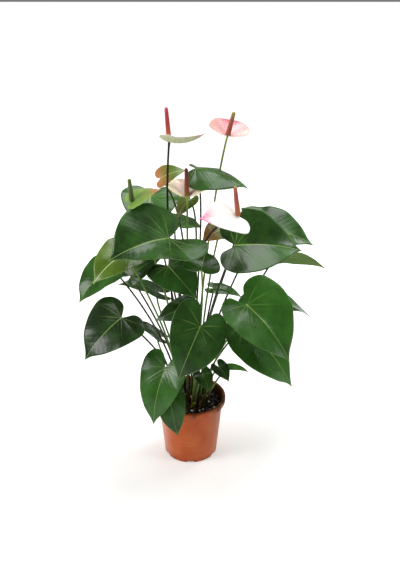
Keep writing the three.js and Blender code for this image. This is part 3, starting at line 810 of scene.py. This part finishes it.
def spatheSkin(name, look):
    # waxy bract, glossier and thicker than a leaf; its colour runs along the veins
    skins = []
    for part in ("face", "back"):
        material, add = newMaterial(name + " spathe, waxy " + part)

        across, along, vein, reach, place = bladePlaces(add)
        # streaks about 1 mm wide that follow the veins toward the tip
        fan = add("CombineXYZ", None, {0: vein, 1: across, 2: 0})
        streak = add("TexNoise", None, {"Vector": fan, "Scale": 9, "Detail": 3})
        shift = add("MapRange", None, {0: streak, 1: 0.3, 2: 0.7, 3: -0.07, 4: 0.07})
        share = add("MapRange", None, {0: along, 1: -0.35, 2: 1})
        share = add("Math", {"operation": "ADD"}, {0: share, 1: shift})
        backStops = {0: look["back"], 0.72: look["back"], 0.97: look["backTip"]}
        colour = colourRamp(add, share, look["along"] if part == "face" else backStops)
        rim = add("MapRange", smooth, {0: reach, 1: 0.6, 2: 1, 3: 0, 4: 0.6})
        rim = add("Math", times, {
            0: rim, 1: add("MapRange", None, {0: along, 1: 0.45, 2: 0.75, 3: 1, 4: 0})})
        colour = add("Mix", rgba, {0: rim, 6: colour, 7: linearColour(look["edge"])}, 2)
        gap = add("Math", pingPong, {0: vein, 1: 0.5})
        line = add("MapRange", smooth, {0: gap, 1: 0, 2: 0.09, 3: 0.14, 4: 0})
        colour = add("Mix", rgba, {0: line, 6: colour, 7: linearColour(look["back"])}, 2)
        cells = add("MapRange", smooth, {0: gap, 1: 0, 2: 0.35})
        pucker = add("TexNoise", None, {"Vector": place, "Scale": 190, "Detail": 2})
        relief = add("Math", timesPlus, {0: pucker, 1: 0.8, 2: cells})
        bump = add("Bump", None, {"Height": relief, "Strength": 0.35, "Distance": 0.5 * mm})
        surface = add("BsdfPrincipled", None, {
            "Base Color": colour, "Roughness": 0.3 if part == "face" else 0.42, "IOR": 1.46, "Normal": bump,
            "Coat Weight": 0.25 if part == "face" else 0.0, "Coat Roughness": 0.15})
        add("OutputMaterial", None, {"Surface": surface})
        skins.append(material)
    return skins


def spadixSkin(name, look):
    # fleshy spike packed with tiny flowers: matt, a bead every 1.4 mm
    material, add = newMaterial(name + " spadix, beaded flesh")

    share, bead, _ = add("SeparateXYZ", None, {0: add("UVMap", {"uv_map": "along"})}).node.outputs
    place = add("TexCoord", None, None, 3)
    mottle = add("TexNoise", None, {"Vector": place, "Scale": 500, "Detail": 2})
    colour = colourRamp(add, share, look["spadix"])
    # painted shade in the gaps between the beads
    dark = add("Mix", rgbaTimes, {0: 1.0, 6: colour, 7: linearColour(spadix["shade"])}, 2)
    shade = add("MapRange", None, {0: bead, 1: 0, 2: 0.6, 3: 0.8, 4: 0})
    colour = add("Mix", rgba, {0: shade, 6: colour, 7: dark}, 2)
    bump = add("Bump", None, {"Height": mottle, "Strength": 0.4, "Distance": 0.3 * mm})
    surface = add("BsdfPrincipled", None, {
        "Base Color": colour, "Roughness": 0.5, "IOR": 1.45, "Normal": bump})
    add("OutputMaterial", None, {"Surface": surface})
    return material


def spadixMesh(place):
    # a tapering spike; each bead of its lattice is a few vertices pushed out
    _, at, _ = bladeAxes(place)
    top = Vector(place["spike"]) + Vector((0, 0, soilTop))
    axis = (top - at).normalized()
    foot = at + axis * 0.2
    tall = (top - foot).length
    side = axis.orthogonal().normalized()
    other = axis.cross(side)
    around, rows = spadix["turns"] * 4, spadix["rows"] * 4
    points, marks = [], []
    for i in range(rows + 1):
        t = i / rows
        radius = spadix["radius"] * (1 - 0.36 * t) * math.sqrt(max(0, 1 - max(0, (t - 0.93) / 0.07) ** 2))
        radius *= 0.82 + 0.18 * min(1, t / 0.05)
        for k in range(around):
            turn = 2 * math.pi * k / around
            bead = abs(math.cos(math.pi * (k / 4 + i / 4)) * math.cos(math.pi * (k / 4 - i / 4)))
            r = radius + spadix["bead"] * (bead - 0.5) * min(1, radius / 2)
            across = math.cos(turn) * side + math.sin(turn) * other
            points.append((foot + axis * tall * t + r * across) * mm)
            marks.append((t, bead))
    return points, ringFaces(rows, around), marks


spatheSeed = 200
for number, (name, place) in enumerate(flowers.items()):
    look = flowerColours[name]
    points, faces, slots, layers = bladeMesh(place, ownShape(place, spatheShape), spatheSeed + number)
    spathe = makePiece(name + "_spathe", points, faces, spatheSkin(name, look), slots, layers)
    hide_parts(f"flower_{name}_spathe")
    points, faces, along = stalkMesh(place, flowerStalk, -0.3)
    stalk = makePiece(name + "_stalk", points, faces, [stalkSkins[look["stalk"]]], None, {"along": along})
    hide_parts(f"flower_{name}_stalk")
    points, faces, marks = spadixMesh(place)
    spike = makePiece(name + "_spadix", points, faces, [spadixSkin(name, look)], None, {"along": marks})
    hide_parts(f"flower_{name}_spadix")
print("flowers:", len(flowers))


def turnedMesh(profile, sides):
    # (radius, height) pairs in mm, turned about z; a radius of 0 closes the form on the axis
    points, faces, rows = [], [], []
    for radius, height in profile:
        if radius == 0:
            rows.append([len(points)] * sides)
            points.append((0, 0, height * mm))
            continue
        rows.append(list(range(len(points), len(points) + sides)))
        for k in range(sides):
            x, y = polar(radius, 2 * math.pi * k / sides)
            points.append((x * mm, y * mm, height * mm))
    for below, above in zip(rows, rows[1:]):
        for k in range(sides):
            ring = [below[k], below[(k + 1) % sides], above[(k + 1) % sides], above[k]]
            faces.append(tuple(dict.fromkeys(ring)))
    return points, [f for f in faces if len(f) > 2]


def wallRadius(height):
    top = pot["rimRadius"] - pot["lipWidth"]
    return pot["footRadius"] + (top - pot["footRadius"]) * height / pot["height"]


# the pale pink is a painted highlight for the left of the wall
potColours = {"clay": "#ae480c", "pale": "#c05c1e", "dust": "#c98c66", "darkBrown": "#33260f",
              "paintedHighlight": "#dca48c", "grime": "#9a6a44"}


def potSkin(name, darkening):
    # injection-moulded polypropylene in terracotta: satin, a little chalky dust, potting dirt under the rim;
    # the second argument is how far the wall is darkened all over, nearly to black on the inner wall
    material, add = newMaterial(name)

    place = add("TexCoord", None, None, 3)
    height = add("SeparateXYZ", None, {0: place}, 2)
    cloud = add("TexNoise", None, {"Vector": place, "Scale": 28, "Detail": 4})
    base = add("MapRange", None, {0: cloud, 1: 0.35, 2: 0.75})
    colour = add("Mix", rgba, {
        0: base, 6: linearColour(potColours["clay"]), 7: linearColour(potColours["pale"])}, 2)
    # dust lies in streaks round the wall, about 2 mm high and 40 mm long
    drawn = add("Mapping", None, {"Vector": place, "Scale": (0.06, 0.06, 1)})
    streak = add("TexNoise", None, {"Vector": drawn, "Scale": 420, "Detail": 4})
    dust = add("Math", times, {
        0: add("MapRange", None, {0: streak, 1: 0.5, 2: 0.8, 3: 0, 4: 0.45}),
        1: add("MapRange", None, {0: cloud, 1: 0.4, 2: 0.65})})
    colour = add("Mix", rgba, {0: dust, 6: colour, 7: linearColour(potColours["dust"])}, 2)
    # a painted highlight down the left of the wall, on the side that faces the left lamp, and grey dust on
    # the right
    side = add("SeparateXYZ", None, {0: place}, 0)
    left = add("MapRange", smooth, {0: side, 1: -0.062, 2: -0.03, 3: 0.5, 4: 0})
    colour = add("Mix", rgba, {0: left, 6: colour, 7: linearColour(potColours["paintedHighlight"])}, 2)
    right = add("MapRange", smooth, {0: side, 1: 0.028, 2: 0.062, 3: 0, 4: 0.6})
    right = add("Math", times, {
        0: right, 1: add("MapRange", None, {0: streak, 1: 0.3, 2: 0.7, 3: 0.35, 4: 1})})
    colour = add("Mix", rgba, {0: right, 6: colour, 7: linearColour(potColours["grime"])}, 2)
    # dirt under and on the rim, thickest on the right, and a little round the foot
    smear = add("TexNoise", None, {"Vector": place, "Scale": 75, "Detail": 6, "Roughness": 0.7})
    rimside = add("MapRange", smooth, {0: height, 1: 0.1, 2: 0.124})
    rimside = add("Math", times, {
        0: rimside, 1: add("MapRange", smooth, {0: side, 1: 0.03, 2: 0.06})})
    rimside = add("Math", times, {
        0: rimside, 1: add("MapRange", None, {0: smear, 1: 0.36, 2: 0.56, 3: 0.1, 4: 0.9})})
    upper = add("MapRange", smooth, {0: height, 1: 0.096, 2: 0.128, 3: 0, 4: 0.85})
    upper = add("Math", times, {
        0: upper, 1: add("MapRange", None, {0: smear, 1: 0.5, 2: 0.68})})
    lower = add("MapRange", smooth, {0: height, 1: 0, 2: 0.014, 3: 0.7, 4: 0})
    lower = add("Math", times, {
        0: lower, 1: add("MapRange", None, {0: smear, 1: 0.42, 2: 0.62})})
    dirtAndDarkening = add("Math", larger, {0: upper, 1: lower})
    dirtAndDarkening = add("Math", larger, {0: dirtAndDarkening, 1: rimside})
    # darkened all over by the second argument, nearly black on the inner wall above the compost
    dirtAndDarkening = add("Math", larger, {
        0: dirtAndDarkening, 1: add("MapRange", None, {0: smear, 1: 0.2, 2: 0.6, 3: darkening, 4: darkening * 0.8})})
    colour = add("Mix", rgba, {0: dirtAndDarkening, 6: colour, 7: linearColour(potColours["darkBrown"])}, 2)
    pebble = add("TexNoise", None, {"Vector": place, "Scale": 1100, "Detail": 2})
    relief = add("Math", timesPlus, {0: dirtAndDarkening, 1: 1.5, 2: pebble})
    bump = add("Bump", None, {"Height": relief, "Strength": 0.25, "Distance": 0.25 * mm})
    rough = add("MapRange", None, {0: dirtAndDarkening, 3: 0.36, 4: 0.85})
    surface = add("BsdfPrincipled", None, {
        "Base Color": colour, "Roughness": rough, "IOR": 1.38, "Specular IOR Level": 0.45, "Normal": bump})
    add("OutputMaterial", None, {"Surface": surface})
    return material


def buildPot():
    lipFoot = pot["height"] - pot["lipHeight"]
    wall, rim, top = pot["wall"], pot["rimRadius"], pot["height"]
    floorTop = pot["floor"] + wall
    ringInside = pot["footRadius"] - pot["footRing"]
    profile = [
        (0, pot["floor"]), (ringInside - 0.6, pot["floor"]), (ringInside, pot["floor"] - 0.6),
        (ringInside, 0.3), (ringInside + 0.3, 0), (pot["footRadius"] - 0.6, 0), (pot["footRadius"], 0.6),
    ]
    profile += [(wallRadius(h), h) for h in np.linspace(3, lipFoot - 0.5, 14)]
    profile += [
        (wallRadius(lipFoot) + 0.5, lipFoot), (rim - 1, lipFoot), (rim - 0.3, lipFoot + 0.3),
        (rim, lipFoot + 1), (rim, top - 2), (rim - 0.15, top - 1), (rim - 0.6, top - 0.3), (rim - 1.2, top),
        (wallRadius(top) - wall + 1.2, top), (wallRadius(top) - wall + 0.4, top - 0.5),
    ]
    profile += [(wallRadius(h) - wall, h) for h in np.linspace(top - 2, floorTop + 2, 8)]
    corner = wallRadius(floorTop) - wall
    profile += [(corner - 0.8, floorTop + 0.4), (corner - 2, floorTop), (0, floorTop)]
    points, faces = turnedMesh(profile, pot["sides"])
    skins = [potSkin("terracotta polypropylene, injection moulded", 0.0),
             potSkin("terracotta polypropylene, inner wall darkened", pot["innerDarkening"])]
    inside = []
    for face in faces:
        x, y, z = points[face[0]]
        inner = math.hypot(x, y) < wallRadius(z / mm) * mm - wall * 0.6 * mm
        inside.append(z > pot["floor"] * mm and inner)
    piece = makePiece("pot_shell", points, faces, skins, inside)

    # hub pad under the floor, notches in the foot ring and drain holes
    helpers = []

    def cut(points, faces, operation):
        mesh = bpy.data.meshes.new("cutter")
        mesh.from_pydata(points, [], faces)
        helper = bpy.data.objects.new("cutter", mesh)
        scene.collection.objects.link(helper)
        change = piece.modifiers.new("cut", "BOOLEAN")
        change.operation = operation
        change.object = helper
        helpers.append(helper)

    hubTop = pot["floor"] + wall / 2
    cut(*turnedMesh([(0, 0), (pot["hub"], 0), (pot["hub"], hubTop), (0, hubTop)], 64), "UNION")
    for i in range(pot["notches"]):
        turn = -math.pi / 2 + i * 2 * math.pi / pot["notches"]
        corners = []
        for z in (-3, pot["notchHeight"]):
            for r, s in ((-1, -1), (1, -1), (1, 1), (-1, 1)):
                x = pot["footRadius"] - pot["footRing"] / 2 + r * 2 * pot["footRing"]
                y = s * pot["notchWidth"] / 2 * (1 if z < 0 else 0.9)
                turnedX = x * math.cos(turn) - y * math.sin(turn)
                turnedY = x * math.sin(turn) + y * math.cos(turn)
                corners.append((turnedX * mm, turnedY * mm, z * mm))
        box = [(3, 2, 1, 0), (4, 5, 6, 7), (0, 1, 5, 4), (1, 2, 6, 5), (2, 3, 7, 6), (3, 0, 4, 7)]
        cut(corners, box, "DIFFERENCE")
    for i in range(pot["holes"]):
        turn = (i + 0.5) * 2 * math.pi / pot["holes"]
        points, faces = turnedMesh([(0, 1), (pot["holeRadius"], 1), (pot["holeRadius"], 10), (0, 10)], 32)
        shift = Vector((*polar(1, turn), 0)) * pot["holeCircle"] * mm
        cut([Vector(p) + shift for p in points], faces, "DIFFERENCE")
    bpy.context.view_layer.update()
    done = bpy.data.meshes.new_from_object(piece.evaluated_get(bpy.context.evaluated_depsgraph_get()))
    piece.modifiers.clear()
    piece.data = done
    for helper in helpers:
        bpy.data.objects.remove(helper)
    done.set_sharp_from_angle(angle=math.radians(40))
    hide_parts("pot")


soil = {
    "seed": 3,
    "earth": "#0b0705", "crumb": "#1d130b",
    "chips": 620, "chipSizes": (4, 14),  # mm
    "chipColours": ["#0e0906", "#170f09", "#21160d", "#342613", "#5a4a2a", "#a88a60"],
    "chipWeights": (8, 9, 8, 5, 3.5, 2),  # how often each colour is drawn
    "perlite": 48, "perliteSizes": (2.0, 4.2), "perliteLong": 2.8,
    "perliteColours": ["#efece2", "#e2ddd0", "#d2c8b4"],
}


def groundSkin():
    # damp peat compost: black-brown, crumbly, with a few paler fibres
    material, add = newMaterial("damp peat compost, crumbled")

    place = add("TexCoord", None, None, 3)
    crumb = add("TexVoronoi", None, {"Vector": place, "Scale": 420})
    fine = add("TexNoise", None, {"Vector": place, "Scale": 900, "Detail": 4})
    mixed = add("MapRange", None, {0: fine, 1: 0.45, 2: 0.75})
    colour = add("Mix", rgba, {
        0: mixed, 6: linearColour(soil["earth"]), 7: linearColour(soil["crumb"])}, 2)
    relief = add("Math", timesPlus, {0: fine, 1: 0.5, 2: crumb})
    bump = add("Bump", None, {"Height": relief, "Strength": 0.9, "Distance": 1.2 * mm})
    surface = add("BsdfPrincipled", None, {
        "Base Color": colour, "Roughness": 0.9, "IOR": 1.25, "Normal": bump})
    add("OutputMaterial", None, {"Surface": surface})
    return material


def pieceColourSkin(name, roughness, grain, depth):
    # takes each chip's own colour and adds a grain; grain is in waves per metre
    material, add = newMaterial(name)

    own = add("Attribute", {"attribute_name": "own"})
    place = add("TexCoord", None, None, 3)
    fine = add("TexNoise", None, {"Vector": place, "Scale": grain, "Detail": 4})
    shade = add("MapRange", None, {0: fine, 1: 0.3, 2: 0.7, 3: 0.6, 4: 1.25})
    colour = add("Mix", rgbaTimes, {0: 1.0, 6: own, 7: shade}, 2)
    bump = add("Bump", None, {"Height": fine, "Strength": 0.6, "Distance": depth})
    surface = add("BsdfPrincipled", None, {
        "Base Color": colour, "Roughness": roughness, "IOR": 1.45, "Normal": bump})
    add("OutputMaterial", None, {"Surface": surface})
    return material


def makeLoose(name, skin, points, faces, colours):
    # many loose bits as one piece, each in its own colour
    piece = makePiece(name, points, faces, [skin], None, None, {"own": colours})
    return piece


def groundHeight(x, y):
    # mm; lumpy, a little higher round the crown, where the stalks push it up
    lump = noise.noise(Vector((x / 16, y / 16, 3))) * 2.2 + noise.noise(Vector((x / 5, y / 5, 7))) * 1.0
    return soilTop - 1.2 + lump + 3.0 * math.exp(-(x * x + y * y) / 700)


def buildSoil():
    outer = wallRadius(soilTop) - pot["wall"] - 0.4
    rings, sides = 46, 120
    points, faces = [(0, 0, groundHeight(0, 0) * mm)], []
    for j in range(1, rings + 1):
        r = outer * j / rings
        for k in range(sides):
            x, y = polar(r, 2 * math.pi * k / sides)
            points.append((x * mm, y * mm, groundHeight(x, y) * mm))

    def ring(j, k):
        return 1 + (j - 1) * sides + k % sides

    faces += [(0, ring(1, k), ring(1, k + 1)) for k in range(sides)]
    for j in range(1, rings):
        faces += [(ring(j, k), ring(j + 1, k), ring(j + 1, k + 1), ring(j, k + 1)) for k in range(sides)]
    bottom = pot["floor"] + pot["wall"] + 0.3
    low = len(points)
    for k in range(sides):
        x, y = polar(wallRadius(bottom) - pot["wall"] - 1.2, 2 * math.pi * k / sides)
        points.append((x * mm, y * mm, bottom * mm))
    faces += [(low + k, low + (k + 1) % sides, ring(rings, k + 1), ring(rings, k)) for k in range(sides)]
    faces.append(tuple(range(low, low + sides))[::-1])
    ground = makePiece("soil_ground", points, faces, [groundSkin()])
    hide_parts("soil")

    # bark chips: flat jagged flakes, dark and wet, a few dry and tan
    pick = random.Random(soil["seed"])
    points, faces, colours = [], [], []
    for i in range(soil["chips"]):
        size = pick.uniform(*soil["chipSizes"]) * pick.uniform(0.5, 1)
        r = (outer - size * 0.6) * math.sqrt(pick.uniform(0, 1))
        x, y = polar(r, pick.uniform(0, 2 * math.pi))
        centre = Vector((x, y, groundHeight(x, y) + pick.uniform(-0.4, 1.6)))
        tip = Matrix.Rotation(pick.gauss(0, 0.45), 3, "X") @ Matrix.Rotation(pick.gauss(0, 0.45), 3, "Y")
        spin = Matrix.Rotation(pick.uniform(0, 6.3), 3, "Z") @ tip
        long, wide, thick = size / 2, size * pick.uniform(0.25, 0.45), size * pick.uniform(0.08, 0.16)
        sides = pick.randint(5, 7)
        first = len(points)
        level = (-1, -0.2, 1)
        for step, z in enumerate(level):
            inset = (0.8, 1.0, 0.75)[step]
            for k in range(sides):
                around = 2 * math.pi * (k + 0.3 * math.sin(i + k)) / sides
                rough = inset * (0.75 + 0.35 * abs(math.sin(3.7 * i + 2.3 * k)))
                x, y = long * rough * math.cos(around), wide * rough * math.sin(around)
                p = Vector((x, y, thick * (z + 0.3 * math.sin(i * 1.7 + k))))
                points.append((centre + spin @ p) * mm)
        faces += ringFaces(2, sides, first)
        colour = linearColour(pick.choices(soil["chipColours"], soil["chipWeights"])[0])
        colours += [colour] * (3 * sides)
    skin = pieceColourSkin("pine bark chips, damp and torn", 0.6, 700, 0.6 * mm)
    chips = makeLoose("soil_bark", skin, points, faces, colours)
    chips.data.set_sharp_from_angle(angle=math.radians(35))

    # perlite: puffed white grains
    points, faces, colours = [], [], []
    for i in range(soil["perlite"]):
        size = pick.uniform(*soil["perliteSizes"])
        r = (outer - 4) * math.sqrt(pick.uniform(0.02, 1))
        x, y = polar(r, pick.uniform(0, 2 * math.pi))
        centre = Vector((x, y, groundHeight(x, y) + 1.3))
        lie = Matrix.Rotation(pick.uniform(0, 6.3), 3, "Z") @ Matrix.Rotation(pick.uniform(-0.6, 0.6), 3, "Y")
        first, rows, sides = len(points), 6, 9
        for j in range(rows + 1):
            lift = math.pi * j / rows
            for k in range(sides):
                turn = 2 * math.pi * k / sides
                d = Vector((*polar(math.sin(lift), turn), -0.8 * math.cos(lift)))
                bump = 1 + 0.5 * noise.noise(d * 1.7 + Vector((i, 0, 0)))
                grain = d * size / 2 * bump
                grain.x *= 1 + (soil["perliteLong"] - 1) * (i % 3) / 2  # some are splinters
                points.append((centre + lie @ grain) * mm)
        faces += ringFaces(rows, sides, first)
        colours += [linearColour(pick.choice(soil["perliteColours"]))] * ((rows + 1) * sides)
    skin = pieceColourSkin("perlite, puffed volcanic glass", 0.9, 1500, 0.4 * mm)
    makeLoose("soil_perlite", skin, points, faces, colours)
    print("soil: ground,", soil["chips"], "chips,", soil["perlite"], "grains")


# least and most of each size in mm; a ring is the distance from the pot's axis
crown = {
    "seed": 5,
    "radius": 7, "height": 26,
    "roots": 16, "rootRadius": (1.1, 2.0), "rootReach": (14, 34), "rootSteps": 14,
    "sheaths": 18, "sheathHeight": (16, 40), "sheathWidth": (3, 6), "sheathRing": (8, 22),
    "sheathThickness": 0.3,
    # bases of old stalks
    "stubs": 26, "stubHeight": (14, 46), "stubRadius": (2.2, 4.4), "stubRing": (10, 27),
    "stub": ["#6f7a24", "#56611c", "#838c38", "#8a6a3a", "#b89a68", "#4a361c"],
    "skin": ["#565a20", "#33350f"], "sheath": ["#3f2d18", "#5f4726", "#35330f", "#7a6236"],
    "root": ["#5c5a26", "#7d7a40", "#b8a678", "#4a3a20"],
}


def buildCrown():
    pick = random.Random(crown["seed"])
    # short rough stem in the middle, ringed with leaf scars
    points, colours = [], []
    rows, sides = 34, 28
    for i in range(rows + 1):
        t = i / rows
        for k in range(sides):
            turn = 2 * math.pi * k / sides
            ring = 0.5 * abs(math.sin(t * 26 + math.sin(turn) * 1.2))
            lump = 0.9 * noise.noise(Vector((math.cos(turn) * 1.6, math.sin(turn) * 1.6, t * 4)))
            r = crown["radius"] * (1 - 0.35 * t ** 2) + ring + lump
            if t >= 0.9:  # a rounded top
                r *= math.sqrt(max(0.02, 1 - ((t - 0.9) / 0.1) ** 2))
            points.append(Vector((*polar(r, turn), soilTop - 3 + (crown["height"] + 3) * t)) * mm)
            colours.append(linearColour(crown["skin"][0 if ring > 0.25 else 1]))
    skin = pieceColourSkin("rootstock, scarred green bark", 0.7, 420, 0.8 * mm)
    stem = makeLoose("crown_stem", skin, points, ringFaces(rows, sides), colours)
    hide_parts("rootstock")

    # stout roots that leave the crown and dive into the compost
    points, faces, colours = [], [], []
    for i in range(crown["roots"]):
        turn = 2 * math.pi * (i + pick.uniform(-0.3, 0.3)) / crown["roots"]
        reach = pick.uniform(*crown["rootReach"])
        bend = pick.uniform(-0.5, 0.5)
        path = []
        for step in range(crown["rootSteps"] + 1):
            t = step / crown["rootSteps"]
            r = 5 + reach * t
            angle = turn + bend * t
            x, y = polar(r, angle)
            hop = 9 * (1 - t) ** 2 + 3.2 * math.sin(math.pi * t)
            path.append(Vector((x, y, groundHeight(x, y) + hop * (1 - t) - 2.5 * t * t)) * mm)
        thick = pick.uniform(*crown["rootRadius"])
        radii = [thick * (1 - 0.4 * step / crown["rootSteps"]) * mm for step in range(len(path))]
        tube, quads, _ = tubeMesh(path, radii, 9)
        faces += [tuple(len(points) + k for k in f) for f in quads]
        points += list(tube)
        colours += [linearColour(pick.choice(crown["root"]))] * len(tube)
    skin = pieceColourSkin("aerial roots, corky and pale", 0.75, 600, 0.4 * mm)
    makeLoose("crown_roots", skin, points, faces, colours)

    # stubs of old stalks, leaning out all round, mossy green and tan
    points, faces, colours = [], [], []
    for i in range(crown["stubs"]):
        turn = 2 * math.pi * (i + pick.uniform(-0.3, 0.3)) / crown["stubs"]
        r = pick.uniform(*crown["stubRing"])
        tall = pick.uniform(*crown["stubHeight"])
        thick = pick.uniform(*crown["stubRadius"])
        out, sway = pick.uniform(0.1, 0.6), pick.uniform(-0.4, 0.4)
        path, radii = [], []
        for step in range(13):
            t = step / 12
            reach = r + tall * out * t ** 1.3
            angle = turn + sway * t
            x, y = polar(reach, angle)
            path.append(Vector((x, y, groundHeight(x, y) - 2 + (tall + 2) * t * (1 - 0.25 * t))) * mm)
            ring = 0.35 * math.sin(t * tall * 0.9 + i)  # old leaf scars
            radii.append((thick * (1 - 0.35 * t) + ring) * (1 if step < 12 else 0.55) * mm)
        tube, quads, along = tubeMesh(path, radii, 10)
        faces += [tuple(len(points) + k for k in f) for f in quads]
        points += list(tube)
        first, last = pick.choice(crown["stub"]), pick.choice(crown["stub"])
        low, high = np.array(linearColour(first)), np.array(linearColour(last))
        colours += [tuple(low + (high - low) * share) for share, _ in along]
    skin = pieceColourSkin("old stalk bases, mossy and scarred", 0.75, 500, 0.5 * mm)
    makeLoose("crown_stubs", skin, points, faces, colours)

    # dry papery sheaths standing round the feet of the stalks
    points, faces, colours = [], [], []
    for i in range(crown["sheaths"]):
        turn = 2 * math.pi * i / crown["sheaths"] + pick.uniform(-0.15, 0.15)
        r = pick.uniform(*crown["sheathRing"])
        tall = pick.uniform(*crown["sheathHeight"])
        wide = pick.uniform(*crown["sheathWidth"])
        foot = Vector((*polar(r, turn), 0))
        foot.z = groundHeight(foot.x, foot.y) - 1
        out = Vector((math.cos(turn), math.sin(turn), 0))
        side = Vector((-math.sin(turn), math.cos(turn), 0))
        first, rows, cols = len(points), 12, 6
        for j in range(rows + 1):
            t = j / rows
            half = wide * (1 - t ** 2) ** 0.7 + 0.15
            for k in range(cols + 1):
                s = 2 * k / cols - 1
                hollow = 2.2 * s * s * (1 - t)
                p = foot + Vector((0, 0, tall * t)) + side * half * s
                p += out * (2.5 + tall * 0.28 * t ** 1.6 - hollow + 0.5 * math.sin(7 * t + i))
                points.append(p * mm)
        for j in range(rows):
            for k in range(cols):
                a = first + j * (cols + 1) + k
                faces.append((a, a + 1, a + cols + 2, a + cols + 1))
        colours += [linearColour(pick.choice(crown["sheath"]))] * ((rows + 1) * (cols + 1))
    skin = pieceColourSkin("dry papery sheaths", 0.7, 500, 0.4 * mm)
    sheaths = makeLoose("crown_sheaths", skin, points, faces, colours)
    thick = sheaths.modifiers.new("thickness", "SOLIDIFY")
    thick.thickness = crown["sheathThickness"] * mm
    print("crown: stem, roots, stubs and sheaths")


buildPot()
buildSoil()
buildCrown()
print("pot and soil ready")
